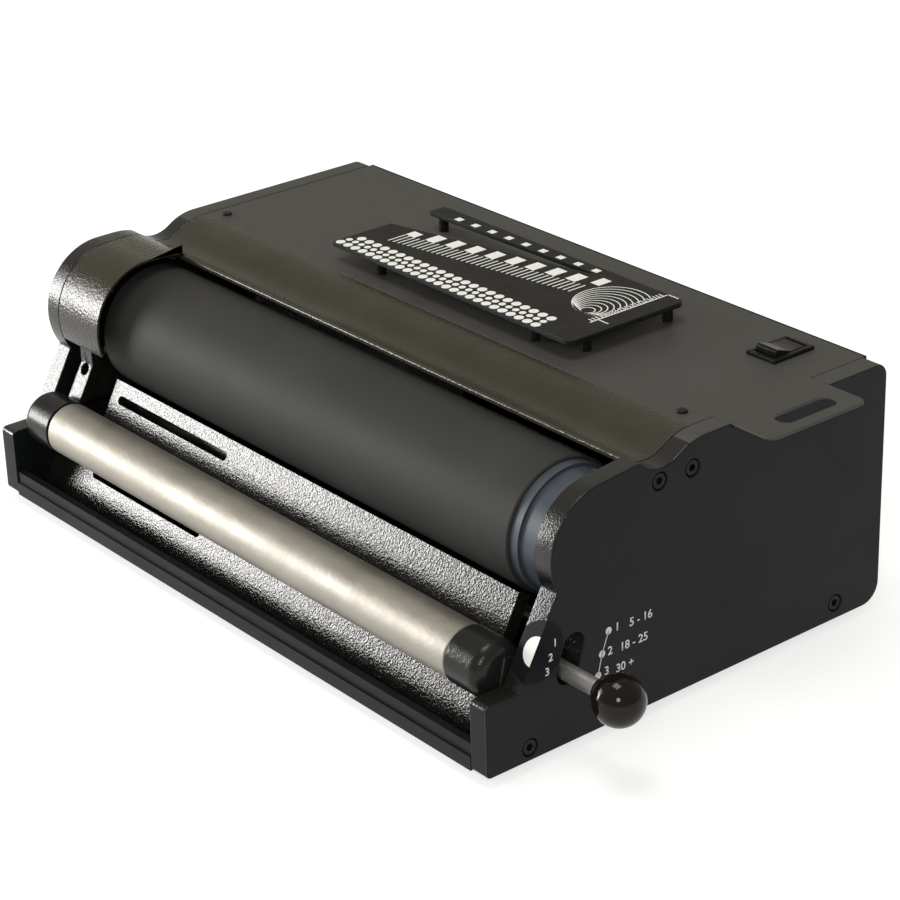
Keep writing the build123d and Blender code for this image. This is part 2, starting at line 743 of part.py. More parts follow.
def rest_plate():
    """Sloped sheet, wide at its foot and notched above it for the cradle arms."""
    low = PAN_T
    high = rest_top()
    foot_front = rest_point(low)
    foot_back = (foot_front[0] + REST_FOOT, low)
    inner_low = rest_point(low + REST_T)
    inside = (inner_low[0] + REST_T / math.sin(math.radians(REST_SLOPE)), low + REST_T)
    face = outline(
        Polyline(
            foot_front, rest_point(high), rest_point(high, REST_T), inside,
            (foot_back[0], low + REST_T), foot_back, foot_front,
        )
    )
    sheet = slab(face, -SHEET_X, SHEET_X)
    deep = (0, rest_point(high)[0] + REST_FOOT)
    tall = (REST_STEP, high + REST_T)
    sheet -= block((-SHEET_X, REST_LEFT), deep, tall)
    sheet -= block((REST_RIGHT, SHEET_X), deep, tall)
    strip = outline(
        Polyline(
            rest_point(REST_STEP), rest_point(high), rest_point(high, REST_FLANGE),
            rest_point(REST_STEP, REST_FLANGE), rest_point(REST_STEP),
        )
    )
    sheet += slab(strip, REST_LEFT, REST_LEFT + REST_T)
    sheet += slab(strip, REST_RIGHT - REST_T, REST_RIGHT)
    for height in (REST_SLOT_LOW, high - REST_SLOT_DROP):
        y, z = rest_point(height)
        place = Plane(
            origin=(REST_LEFT + REST_SLOT_INSET, y, z),
            x_dir=(1, 0, 0),
            z_dir=(0, -math.sin(math.radians(REST_SLOPE)), math.cos(math.radians(REST_SLOPE))),
        )
        sheet -= extrude(place * SlotOverall(REST_SLOT_L, REST_SLOT_W), REST_T * 2, both=True)
    return sheet


# Top cover, rear panel and their screws

def top_cover():
    top = block((-SHEET_X, SHEET_X), (COVER_Y + SIDE_GAP, BACK_Y), (COVER_UNDER, COVER_TOP))
    top += block((-SHEET_X, SHEET_X), (BACK_Y - SHEET_T, BACK_Y), (COVER_TOP - FLANGE, COVER_TOP))
    tab = block((SHEET_X - 1, WIDTH / 2 + TAB_REACH), TAB_Y, (COVER_UNDER, COVER_TOP))
    outer = tab.edges().filter_by(Axis.Z).group_by(Axis.X)[-1]
    tab = fillet(outer, TAB_CORNER_R)
    slot = Pos(TAB_SLOT_X, TAB_SLOT_Y, COVER_UNDER) * SlotOverall(TAB_SLOT_L, TAB_SLOT_W, 90)
    top = top + tab - extrude(slot, SHEET_T)
    width, length = (size - SWITCH_WALL + SEAT_GAP for size in SWITCH_SIZE)
    hole = Pos(SWITCH_X, SWITCH_Y, COVER_UNDER) * Rectangle(width, length)
    top -= extrude(hole, SHEET_T)
    for x in POST_X:
        top -= upright(x, POST_Y, SMALL_SCREW_R + SEAT_GAP, COVER_UNDER, COVER_TOP)
    for x, y in gauge_posts():
        top -= upright(x, y, SMALL_SCREW_R + SEAT_GAP, COVER_UNDER, COVER_TOP)
    return top


def cover_screws():
    pieces = []
    tip = UPPER_BAR_Z + UPPER_BAR_H / 2 + SEAT_GAP
    for x in POST_X:
        head = upright(x, POST_Y, SMALL_HEAD_R, COVER_TOP, COVER_TOP + SMALL_HEAD_H)
        head = fillet(head.edges().group_by(Axis.Z)[-1], SMALL_HEAD_H / 2)
        pieces.append(head + upright(x, POST_Y, SMALL_SCREW_R, tip, COVER_TOP))
    return group(pieces)


def rear_screw_places():
    span = INNER_X - FLANGE
    high = COVER_TOP - FLANGE / 2
    return tuple((x, z) for x in (-span, 0.0, span) for z in (FLANGE / 2 + PAN_T, high))


def along_y(x, z, radius, front, back):
    """Round bar along y."""
    return Pos(x, (front + back) / 2, z) * Rot(90, 0, 0) * Cylinder(radius, back - front)


def rear_panel():
    tall = (SEAT_GAP, COVER_TOP - SEAT_GAP)
    panel = block((-SHEET_X, SHEET_X), (BACK_Y, BACK_OUT), tall)
    for row in range(BACK_VENT_ROWS):
        z = HEIGHT - BACK_VENT_DROP - row * BACK_VENT_PITCH
        for x in BACK_VENT_X:
            vent = Plane.XZ.offset(-BACK_Y) * Pos(x, z) * SlotOverall(*BACK_VENT)
            panel -= extrude(vent, -BACK_T)
    width, height = INLET_BODY[0], INLET_BODY[2]
    clear = SEAT_GAP
    panel -= block(
        (INLET_X - width / 2 - clear, INLET_X + width / 2 + clear),
        (BACK_Y, BACK_OUT),
        (INLET_Z - height / 2 - clear, INLET_Z + height / 2 + clear),
    )
    panel -= along_y(JACK_X, JACK_Z, JACK_R + clear, BACK_Y, BACK_OUT)
    for side in (-1, 1):
        x = INLET_X + side * INLET_SCREWS / 2
        panel -= along_y(x, INLET_Z, SMALL_SCREW_R + clear, BACK_Y, BACK_OUT)
    for x, z in rear_screw_places():
        panel -= along_y(x, z, SMALL_SCREW_R + clear, BACK_Y, BACK_OUT)
    return panel


def rear_screws():
    pieces = []
    for x, z in rear_screw_places():
        head = along_y(x, z, SMALL_HEAD_R, BACK_OUT, BACK_OUT + SMALL_HEAD_H)
        pieces.append(head + along_y(x, z, SMALL_SCREW_R, BACK_Y + SEAT_GAP, BACK_OUT))
    return group(pieces)


# Gauge plate on its posts

def gauge_posts():
    left, right = GAUGE_X
    front, rear = GAUGE_Y
    edge = GAUGE_POST_EDGE
    return (
        (left + GAUGE_POST_IN, front + edge),
        (right - GAUGE_POST_IN, front + edge),
        (right - edge, front + GAUGE_POST_SIDE),
        (right - edge, rear - edge),
        (left + edge, rear - edge),
    )


def gauge_plate():
    """Flat plate with a wedge-shaped slot open at its left end."""
    left, right = GAUGE_X
    front, rear = GAUGE_Y
    face = make_face(
        Polyline(
            (left, front), (right, front), (right, rear), (left, rear),
            (left, WEDGE_MOUTH[1]), WEDGE_TIP, (left, WEDGE_MOUTH[0]), (left, front),
        )
    )
    sharp = [v for v in face.vertices() if v.X > right - 1]
    face = fillet(sharp, GAUGE_CORNER_R)
    tip = face.vertices().sort_by_distance(Vector(*WEDGE_TIP))[0]
    face = fillet(tip, WEDGE_TIP_R)
    plate = Pos(0, 0, GAUGE_Z) * extrude(face, GAUGE_T)
    for x, y in gauge_posts():
        plate -= upright(x, y, SMALL_SCREW_R + SEAT_GAP, GAUGE_Z, GAUGE_Z + GAUGE_THREAD)
    return plate


def gauge_standoffs():
    pieces = []
    for x, y in gauge_posts():
        post = upright(x, y, SMALL_HEAD_R, COVER_TOP, GAUGE_Z)
        pieces.append(post - upright(x, y, SMALL_SCREW_R + SEAT_GAP, COVER_TOP, GAUGE_Z))
    return group(pieces)


def gauge_screws():
    """Screws that come up through the cover and the posts into blind threads in the plate."""
    pieces = []
    for x, y in gauge_posts():
        head = upright(x, y, SMALL_HEAD_R, COVER_UNDER - SMALL_HEAD_H, COVER_UNDER)
        pieces.append(head + upright(x, y, SMALL_SCREW_R, COVER_UNDER, GAUGE_Z + GAUGE_THREAD - SEAT_GAP))
    return group(pieces)


# Rocker switch

def switch_frame():
    width, length = SWITCH_SIZE
    rim = block(
        (SWITCH_X - width / 2, SWITCH_X + width / 2),
        (SWITCH_Y - length / 2, SWITCH_Y + length / 2),
        (COVER_TOP, COVER_TOP + SWITCH_LIP),
    )
    rim = fillet(rim.edges().group_by(Axis.Z)[-1], SWITCH_LIP / 3)
    body_w = width - SWITCH_WALL
    body_l = length - SWITCH_WALL
    body = Pos(SWITCH_X, SWITCH_Y, COVER_TOP - SWITCH_BODY / 2) * Box(body_w, body_l, SWITCH_BODY)
    well_w = width - 2 * SWITCH_WALL
    well_l = length - 2 * SWITCH_WALL
    deep = SWITCH_WELL + SWITCH_LIP
    well = Pos(SWITCH_X, SWITCH_Y, COVER_TOP - SWITCH_WELL + deep / 2) * Box(well_w, well_l, deep)
    pin = rod(SWITCH_Y, COVER_TOP, ROCKER_PIN_R + RUN_GAP, SWITCH_X - well_w, SWITCH_X + well_w)
    inside = Pos(SWITCH_X, SWITCH_Y, COVER_TOP) * Box(width - SWITCH_WALL * 1.2, length, length)
    return rim + body - well - (pin & inside)


def power_rocker():
    """Rocker with a shallow V on top and rounded ends, tipped to its off side."""
    width = SWITCH_SIZE[0] - 2 * SWITCH_WALL - 2 * ROCKER_GAP
    half = SWITCH_SIZE[1] / 2 - SWITCH_WALL - ROCKER_END_GAP
    foot = half - ROCKER_TAPER
    face = outline(
        Polyline(
            (-half, ROCKER_RISE), (0, ROCKER_DIP), (half, ROCKER_RISE), (foot, -ROCKER_SIDE),
            (0, -ROCKER_DEEP), (-foot, -ROCKER_SIDE), (-half, ROCKER_RISE),
        )
    )
    face = fillet([corner(face, side * half, ROCKER_RISE) for side in (-1, 1)], ROCKER_ROUND)
    rocker = slab(face, -width / 2, width / 2)
    reach = width / 2 + ROCKER_GAP + SWITCH_WALL * 0.3
    rocker += rod(0, 0, ROCKER_PIN_R, -reach, reach)
    return Pos(SWITCH_X, SWITCH_Y, COVER_TOP) * Rot(-ROCKER_TILT, 0, 0) * rocker


# Drive roller

def roller_sleeve():
    sleeve = rod(ROLLER_Y, ROLLER_Z, ROLLER_R, ROLLER_LEFT, ROLLER_RIGHT)
    sleeve = chamfer(sleeve.edges().filter_by(GeomType.CIRCLE), 0.8)
    return sleeve - rod(ROLLER_Y, ROLLER_Z, ROLLER_R - RUBBER_T, ROLLER_LEFT, ROLLER_RIGHT)


def roller_core():
    outer = ROLLER_R - RUBBER_T
    tube = rod(ROLLER_Y, ROLLER_Z, outer, ROLLER_LEFT, ROLLER_RIGHT)
    return tube - rod(ROLLER_Y, ROLLER_Z, outer - CORE_T, ROLLER_LEFT, ROLLER_RIGHT)


def hub_bore(hub, left, right):
    return hub - rod(ROLLER_Y, ROLLER_Z, SHAFT_R, left, right)


def roller_hub_right():
    """Plastic hub with a flange and a smaller drum, plugged into the core tube."""
    inner = ROLLER_R - RUBBER_T - CORE_T
    step = ROLLER_RIGHT + HUB_FLANGE_W
    end = INNER_X - HUB_GAP
    hub = rod(ROLLER_Y, ROLLER_Z, inner, ROLLER_RIGHT - PLATE_T, ROLLER_RIGHT)
    hub += rod(ROLLER_Y, ROLLER_Z, HUB_FLANGE_R, ROLLER_RIGHT, step)
    drum = rod(ROLLER_Y, ROLLER_Z, HUB_R, step, end)
    drum = chamfer(drum.edges().filter_by(GeomType.CIRCLE).sort_by(Axis.X)[-1], HUB_EDGE)
    return hub_bore(hub + drum, ROLLER_RIGHT - PLATE_T, end)


def roller_hub_left():
    inner = ROLLER_R - RUBBER_T - CORE_T
    hub = rod(ROLLER_Y, ROLLER_Z, inner, ROLLER_LEFT, ROLLER_LEFT + PLATE_T)
    hub += rod(ROLLER_Y, ROLLER_Z, HUB_R, ROLLER_LEFT - HUB_STEP, ROLLER_LEFT)
    return hub_bore(hub, ROLLER_LEFT - HUB_STEP, ROLLER_LEFT + PLATE_T)


def roller_shaft():
    left = INNER_RIGHT + SEAT_GAP
    right = INNER_X - SEAT_GAP
    shaft = rod(ROLLER_Y, ROLLER_Z, SHAFT_R, left, right)
    shaft += rod(ROLLER_Y, ROLLER_Z, JOURNAL_R, INNER_RIGHT - BEARING_W, left)
    return shaft + rod(ROLLER_Y, ROLLER_Z, JOURNAL_R, right, INNER_X + BEARING_W)


def roller_bearings():
    pieces = []
    for left in (INNER_RIGHT - BEARING_W, INNER_X + HUB_GAP / 2):
        ring = rod(ROLLER_Y, ROLLER_Z, BEARING_R, left, left + BEARING_W)
        pieces.append(ring - rod(ROLLER_Y, ROLLER_Z, JOURNAL_R + RUN_GAP, left, left + BEARING_W))
    return group(pieces)


# Belt drive from the motor

def pulley(y, z, radius, bore):
    half = BELT_W / 2 + BELT_GAP
    wheel = rod(y, z, radius, PULLEY_X - half, PULLEY_X + half)
    for left in (PULLEY_X - half - PULLEY_RIM_T, PULLEY_X + half):
        wheel += rod(y, z, radius + PULLEY_RIM, left, left + PULLEY_RIM_T)
    return wheel - rod(y, z, bore, PULLEY_X - BELT_W, PULLEY_X + BELT_W)


def roller_pulley():
    return pulley(ROLLER_Y, ROLLER_Z, BIG_PULLEY_R, SHAFT_R)


def motor_pulley():
    return pulley(MOTOR_Y, MOTOR_Z, SMALL_PULLEY_R, OUTPUT_R)


def belt_loop(extra):
    """Face inside a tight loop round both pulleys, grown by extra."""
    big = BIG_PULLEY_R + extra
    small = SMALL_PULLEY_R + extra
    span = math.hypot(MOTOR_Y - ROLLER_Y, MOTOR_Z - ROLLER_Z)
    lean = math.degrees(math.atan2(MOTOR_Z - ROLLER_Z, MOTOR_Y - ROLLER_Y))
    open_angle = math.degrees(math.acos((big - small) / span))
    upper = lean + open_angle
    lower = lean - open_angle
    return outline(
        arc(ROLLER_Y, ROLLER_Z, big, upper, lower + 360),
        Line(around(ROLLER_Y, ROLLER_Z, big, lower), around(MOTOR_Y, MOTOR_Z, small, lower)),
        arc(MOTOR_Y, MOTOR_Z, small, lower, upper),
        Line(around(MOTOR_Y, MOTOR_Z, small, upper), around(ROLLER_Y, ROLLER_Z, big, upper)),
    )


def drive_belt():
    loop = belt_loop(BELT_GAP + BELT_T) - belt_loop(BELT_GAP)
    return slab(loop, PULLEY_X - BELT_W / 2, PULLEY_X + BELT_W / 2)


def motor_face():
    """Place of the gearbox's front, at the bracket."""
    return PULLEY_X + BELT_W / 2 + BELT_GAP + PULLEY_RIM_T + BRACKET_T + HUB_GAP


def motor_shaft():
    return rod(MOTOR_Y, MOTOR_Z, OUTPUT_R, PULLEY_X - BELT_W / 2, motor_face() + PLATE_T)


def motor_bracket():
    """Angle plate whose foot fits between the pivot shaft and the rear bar."""
    face = motor_face()
    back = face - BRACKET_T
    wide = (MOTOR_Y - GEARBOX[1] / 2, MOTOR_Y + GEARBOX[1] / 2)
    foot = (SHAFT_BACK + HUB_GAP, BAR_FRONT - HUB_GAP)
    shelf = MOTOR_Z - GEARBOX[2] / 2 - BRACKET_T
    leaf = block((back, face), wide, (shelf, MOTOR_Z + GEARBOX[2] / 2))
    leaf += block((back, face), foot, (PAN_T, shelf))
    leaf += block((back, face + GEARBOX[0]), foot, (PAN_T, PAN_T + BRACKET_T))
    leaf -= rod(MOTOR_Y, MOTOR_Z, OUTPUT_R * 2, face - BRACKET_T, face)
    for y, z in motor_screw_places():
        leaf -= rod(y, z, SMALL_SCREW_R + SEAT_GAP, face - BRACKET_T, face)
    return leaf


def motor_screw_places():
    reach = GEARBOX[1] / 2 - PLATE_T / 2
    return tuple((MOTOR_Y + a * reach, MOTOR_Z + b * reach) for a in (-1, 1) for b in (-1, 1))


def motor_screws():
    face = motor_face()
    pieces = []
    for y, z in motor_screw_places():
        head = rod(y, z, SMALL_HEAD_R, face - BRACKET_T - SMALL_HEAD_H, face - BRACKET_T)
        pieces.append(head + rod(y, z, SMALL_SCREW_R, face - BRACKET_T, face + BRACKET_T * 2))
    return group(pieces)


def gearbox():
    face = motor_face()
    box = block(
        (face, face + GEARBOX[0]),
        (MOTOR_Y - GEARBOX[1] / 2, MOTOR_Y + GEARBOX[1] / 2),
        (MOTOR_Z - GEARBOX[2] / 2, MOTOR_Z + GEARBOX[2] / 2),
    )
    box = fillet(box.edges().filter_by(Axis.X), PLATE_T / 2)
    box -= rod(MOTOR_Y, MOTOR_Z, OUTPUT_R + RUN_GAP, face, face + PLATE_T + SEAT_GAP)
    for y, z in motor_screw_places():
        box -= rod(y, z, SMALL_SCREW_R + SEAT_GAP, face, face + BRACKET_T * 2 + SEAT_GAP)
    return box


def motor():
    start = motor_face() + GEARBOX[0]
    can = rod(MOTOR_Y, MOTOR_Z, MOTOR_R, start, start + MOTOR_L)
    return fillet(can.edges().filter_by(GeomType.CIRCLE).sort_by(Axis.X)[-1], SHEET_T * 2)


# Swing cradle with the lever

def arm_face():
    """Tapered arm from the pivot to the roll, in the side view."""
    pivot = (PIVOT_Y, PIVOT_Z)
    square = ARM_ANGLE + 90
    points = (
        around(*pivot, ARM_W / 2, square),
        around(ROLL_Y, ROLL_Z, ARM_W / 2, square),
        around(ROLL_Y, ROLL_Z, -ARM_W / 2, square),
        around(*pivot, -ARM_W / 2, square),
    )
    bar = outline(Polyline(*points, points[0]))
    hub = Plane.YZ * Pos(*pivot) * Circle(PIVOT_HUB_R)
    return bar + hub


def swing_arm(side):
    """One arm with the boss that holds the end of the roll's axle."""
    inner = side * ARM_IN
    outer = side * ARM_OUT
    arm = slab(arm_face(), min(inner, outer), max(inner, outer))
    roll_end = (ROLL_RIGHT if side > 0 else -ROLL_LEFT) + ROLL_END_GAP
    far = side * (ARM_OUT - ARM_GAP)
    near = side * roll_end
    boss = rod(ROLL_Y, ROLL_Z, BOSS_R, min(near, far), max(near, far))
    ring = boss.edges().filter_by(GeomType.CIRCLE).sort_by(Axis.X)
    boss = fillet(ring[-1] if side > 0 else ring[0], BOSS_ROUND)
    arm += boss
    axle_end = side * (ARM_OUT - ARM_T / 2)
    arm -= rod(ROLL_Y, ROLL_Z, AXLE_R, min(near, axle_end), max(near, axle_end))
    arm -= rod(PIVOT_Y, PIVOT_Z, PIVOT_R + RUN_GAP, min(inner, outer), max(inner, outer))
    y, z = tie_place()
    return arm - rod(y, z, TIE_R - 1.0, min(inner, outer), max(inner, outer))


def tie_place():
    return around(PIVOT_Y, PIVOT_Z, TIE_REACH, ARM_ANGLE)


def detent_place():
    return around(PIVOT_Y, PIVOT_Z, DETENT_REACH, ARM_ANGLE)


def cradle_arm_left():
    """The back of its boss is flat where it passes the inner bearing plate."""
    arm = swing_arm(-1)
    middle = on_slope(TOE_LENGTH / 4, -INNER_SETBACK + ARM_GAP - BOSS_R)
    cut = Pos(0, *middle) * Rot(SLOPE - 90, 0, 0) * Box(2 * (ARM_IN - SIDE_GAP), 2 * BOSS_R, 4 * BOSS_R)
    return arm - cut


def cradle_arm_right():
    """Its outer face carries the lever and a detent plunger."""
    arm = swing_arm(1)
    pad = on_slope(TOE_H / 3, 0)
    low = on_slope(-TOE_H / 7, 0)
    cheek = outline(
        Polyline(
            low, pad, around(*pad, ARM_W, SLOPE - 90), around(*low, ARM_W, SLOPE - 90), low,
        )
    )
    arm += slab(cheek, ARM_IN - ARM_T, ARM_OUT)
    arm += rod(LEVER_Y, LEVER_Z, LEVER_R * 1.7, ARM_IN - ARM_T, ARM_IN)
    arm -= rod(LEVER_Y, LEVER_Z, LEVER_R, ARM_IN - ARM_T, ARM_OUT)
    axle_end = ARM_OUT - ARM_T / 2
    arm -= rod(ROLL_Y, ROLL_Z, AXLE_R, ROLL_RIGHT, axle_end)
    y, z = detent_place()
    return arm - rod(y, z, DETENT_R, ARM_IN, ARM_OUT)


def pivot_shaft():
    end = INNER_X + PIVOT_SEAT
    return rod(PIVOT_Y, PIVOT_Z, PIVOT_R, -end, end)


def pivot_collars():
    """Clamp rings that keep the arms in place along the shaft."""
    pieces = []
    for side in (-1, 1):
        near = side * (ARM_IN - SIDE_GAP)
        far = near - side * COLLAR_T
        ring = rod(PIVOT_Y, PIVOT_Z, PIVOT_HUB_R, min(near, far), max(near, far))
        pieces.append(ring - rod(PIVOT_Y, PIVOT_Z, PIVOT_R, min(near, far), max(near, far)))
    return group(pieces)


def cradle_tie_rod():
    y, z = tie_place()
    bar = rod(y, z, TIE_R, -ARM_IN, ARM_IN)
    return bar + rod(y, z, TIE_R - 1.0, -ARM_OUT, ARM_OUT)


def roll_axle():
    end = ARM_OUT - ARM_T / 2
    return rod(ROLL_Y, ROLL_Z, AXLE_R, -end, end)


def lever_rod():
    return rod(LEVER_Y, LEVER_Z, LEVER_R, ARM_IN - ARM_T, KNOB_X - KNOB_R / 2)


def lever_knob():
    ball = Pos(KNOB_X, LEVER_Y, LEVER_Z) * Sphere(KNOB_R)
    neck = rod(LEVER_Y, LEVER_Z, LEVER_R * 1.4, KNOB_X - KNOB_R, KNOB_X)
    return ball + neck - rod(LEVER_Y, LEVER_Z, LEVER_R, KNOB_X - KNOB_R * 2, KNOB_X - KNOB_R / 2)


def detent_plunger():
    """Short nosed pin that drops into the dimples of the right plate."""
    y, z = detent_place()
    pin = rod(y, z, DETENT_R, ARM_IN, ARM_OUT + ARM_GAP / 2)
    return chamfer(pin.edges().filter_by(GeomType.CIRCLE).sort_by(Axis.X)[-1], ARM_GAP)


# Idler roll

def idler_roll():
    tube = rod(ROLL_Y, ROLL_Z, ROLL_R, ROLL_LEFT, ROLL_RIGHT)
    tube = chamfer(tube.edges().filter_by(GeomType.CIRCLE), 0.5)
    return tube - rod(ROLL_Y, ROLL_Z, ROLL_R - ROLL_T, ROLL_LEFT, ROLL_RIGHT)


def roll_bushings():
    pieces = []
    for left, right in ((ROLL_LEFT, ROLL_LEFT + PLATE_T), (ROLL_RIGHT - PLATE_T, ROLL_RIGHT)):
        ring = rod(ROLL_Y, ROLL_Z, ROLL_R - ROLL_T, left, right)
        pieces.append(ring - rod(ROLL_Y, ROLL_Z, AXLE_R + RUN_GAP, left, right))
    return group(pieces)


# Electrical parts

def power_inlet():
    """Flush appliance inlet with three blades in a deep socket."""
    width, depth, height = INLET_BODY
    flange = block(
        (INLET_X - INLET_FLANGE[0] / 2, INLET_X + INLET_FLANGE[0] / 2),
        (BACK_OUT, DEPTH),
        (INLET_Z - INLET_FLANGE[1] / 2, INLET_Z + INLET_FLANGE[1] / 2),
    )
    flange = fillet(flange.edges().filter_by(Axis.Y), TOE_CORNER_R)
    body = block(
        (INLET_X - width / 2, INLET_X + width / 2),
        (BACK_OUT - depth, BACK_OUT),
        (INLET_Z - height / 2, INLET_Z + height / 2),
    )
    well_w, well_d, well_h = INLET_WELL
    well = block(
        (INLET_X - well_w / 2, INLET_X + well_w / 2),
        (DEPTH - well_d, DEPTH),
        (INLET_Z - well_h / 2, INLET_Z + well_h / 2),
    )
    inlet = flange + body - well
    pin_w, pin_d, pin_h = INLET_PIN
    for x, z in INLET_PINS:
        start = DEPTH - well_d
        inlet += block(
            (INLET_X + x - pin_w / 2, INLET_X + x + pin_w / 2),
            (start, start + pin_d),
            (INLET_Z + z - pin_h / 2, INLET_Z + z + pin_h / 2),
        )
    for side in (-1, 1):
        x = INLET_X + side * INLET_SCREWS / 2
        inlet -= along_y(x, INLET_Z, SMALL_SCREW_R + SEAT_GAP, BACK_OUT, DEPTH)
        inlet -= along_y(x, INLET_Z, SMALL_HEAD_R + SEAT_GAP, DEPTH - SMALL_HEAD_H, DEPTH)
    return inlet


def inlet_screws():
    pieces = []
    for side in (-1, 1):
        x = INLET_X + side * INLET_SCREWS / 2
        screw = along_y(x, INLET_Z, SMALL_HEAD_R, DEPTH - SMALL_HEAD_H, DEPTH)
        pieces.append(screw + along_y(x, INLET_Z, SMALL_SCREW_R, BACK_Y, DEPTH - SMALL_HEAD_H))
    return group(pieces)


def pedal_jack():
    """Small round jack for a foot pedal, with its nut outside the panel."""
    jack = along_y(JACK_X, JACK_Z, JACK_R, BACK_Y - PLATE_T, BACK_OUT)
    jack += along_y(JACK_X, JACK_Z, JACK_NUT_R, BACK_OUT, BACK_OUT + SHEET_T)
    jack += along_y(JACK_X, JACK_Z, JACK_NUT_R, BACK_Y - PLATE_T, BACK_Y)
    return jack - along_y(JACK_X, JACK_Z, JACK_BORE_R, BACK_Y - PLATE_T / 2, DEPTH)


def board_corners():
    return tuple(
        (x, y)
        for x in (BOARD_X[0] + BOARD_EDGE, BOARD_X[1] - BOARD_EDGE)
        for y in (BOARD_Y[0] + BOARD_EDGE, BOARD_Y[1] - BOARD_EDGE)
    )


def control_board():
    return block(BOARD_X, BOARD_Y, (BOARD_Z, BOARD_TOP))


def on_board(x, y, size):
    """Block that stands on the board with one corner at a point."""
    return block((x, x + size[0]), (y, y + size[1]), (BOARD_TOP, BOARD_TOP + size[2]))


def board_parts():
    """Relay, terminal block, heat sink and two capacitors soldered on the board."""
    x = BOARD_X[0] + BOARD_EDGE
    front = BOARD_Y[0] + BOARD_EDGE
    rear = BOARD_Y[1] - BOARD_EDGE
    relay = on_board(x, front, RELAY)
    terminals = on_board(x, rear - TERMINALS[1], TERMINALS)
    x += RELAY[0] + PART_GAP
    sink = on_board(x, front, (SINK[0], SINK[1], SINK_BASE_T))
    pitch = (SINK[0] - SINK_FIN_T) / (SINK_FINS - 1)
    for fin in range(SINK_FINS):
        sink += on_board(x + fin * pitch, front, (SINK_FIN_T, SINK[1], SINK[2]))
    x += SINK[0] + PART_GAP + CAN_R
    step = 2 * CAN_R + PART_GAP / 2
    cans = [upright(x, front + CAN_R + row * step, CAN_R, BOARD_TOP, BOARD_TOP + CAN_H) for row in (0, 1)]
    return group([relay, terminals, sink] + cans)


def board_standoffs():
    return group(upright(x, y, SMALL_HEAD_R, PAN_T, BOARD_Z) for x, y in board_corners())


def motor_capacitor():
    half = CAPACITOR_L / 2
    can = rod(CAPACITOR_Y, CAPACITOR_Z, CAPACITOR_R, CAPACITOR_X - half, CAPACITOR_X + half)
    return fillet(can.edges().filter_by(GeomType.CIRCLE), SHEET_T)


def capacitor_clip():
    """Open ring clip on a foot, screwed to the floor."""
    wide = (CAPACITOR_X - PLATE_T / 2, CAPACITOR_X + PLATE_T / 2)
    ring = rod(CAPACITOR_Y, CAPACITOR_Z, CAPACITOR_R + SHEET_T, *wide)
    ring -= rod(CAPACITOR_Y, CAPACITOR_Z, CAPACITOR_R, *wide)
    mouth = (CAPACITOR_Y - CAPACITOR_R / 2, CAPACITOR_Y + CAPACITOR_R / 2)
    ring -= block(wide, mouth, (CAPACITOR_Z, CAPACITOR_Z + 2 * CAPACITOR_R))
    return ring + block(wide, (CAPACITOR_Y, CAPACITOR_Y + CLIP_FOOT), (PAN_T, PAN_T + SHEET_T))


PIECES = {
    "left_side_plate": left_side_plate,
    "right_side_plate": right_side_plate,
    "side_plate_screws": plate_screws,
    "roller_shroud": roller_shroud,
    "shroud_brackets": shroud_brackets,
    "inner_bearing_plate": inner_bearing_plate,
    "bearing_plate_spacers": bearing_plate_spacers,
    "bearing_plate_screws": bearing_plate_screws,
    "front_tie_rod": front_tie_rod,
    "rear_tie_bar": rear_tie_bar,
    "upper_tie_bar": upper_tie_bar,
    "cover_posts": cover_posts,
    "front_rail": front_rail,
    "base_pan": base_pan,
    "rubber_feet": rubber_feet,
    "foot_screws": foot_screws,
    "rest_plate": rest_plate,
    "top_cover": top_cover,
    "cover_screws": cover_screws,
    "rear_panel": rear_panel,
    "rear_screws": rear_screws,
    "gauge_plate": gauge_plate,
    "gauge_standoffs": gauge_standoffs,
    "gauge_screws": gauge_screws,
    "switch_frame": switch_frame,
    "power_rocker": power_rocker,
    "roller_sleeve": roller_sleeve,
    "roller_core": roller_core,
    "roller_hub_right": roller_hub_right,
    "roller_hub_left": roller_hub_left,
    "roller_shaft": roller_shaft,
    "roller_bearings": roller_bearings,
    "roller_pulley": roller_pulley,
    "motor_pulley": motor_pulley,
    "drive_belt": drive_belt,
    "motor_shaft": motor_shaft,
    "motor_bracket": motor_bracket,
    "motor_screws": motor_screws,
    "gearbox": gearbox,
    "motor": motor,
    "cradle_arm_left": cradle_arm_left,
    "cradle_arm_right": cradle_arm_right,
    "pivot_shaft": pivot_shaft,
    "pivot_collars": pivot_collars,
    "cradle_tie_rod": cradle_tie_rod,
    "roll_axle": roll_axle,
    "lever_rod": lever_rod,
    "lever_knob": lever_knob,
    "detent_plunger": detent_plunger,
    "idler_roll": idler_roll,
    "roll_bushings": roll_bushings,
    "power_inlet": power_inlet,
    "inlet_screws": inlet_screws,
    "pedal_jack": pedal_jack,
    "control_board": control_board,
    "board_parts": board_parts,
    "board_standoffs": board_standoffs,
    "motor_capacitor": motor_capacitor,
    "capacitor_clip": capacitor_clip,
}

os.makedirs("parts", exist_ok=True)
for name, make in PIECES.items():
    export_step(TO_TABLE * make(), f"parts/{name}.step")
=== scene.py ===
import json
import math

import bpy
from mathutils import Matrix, Vector

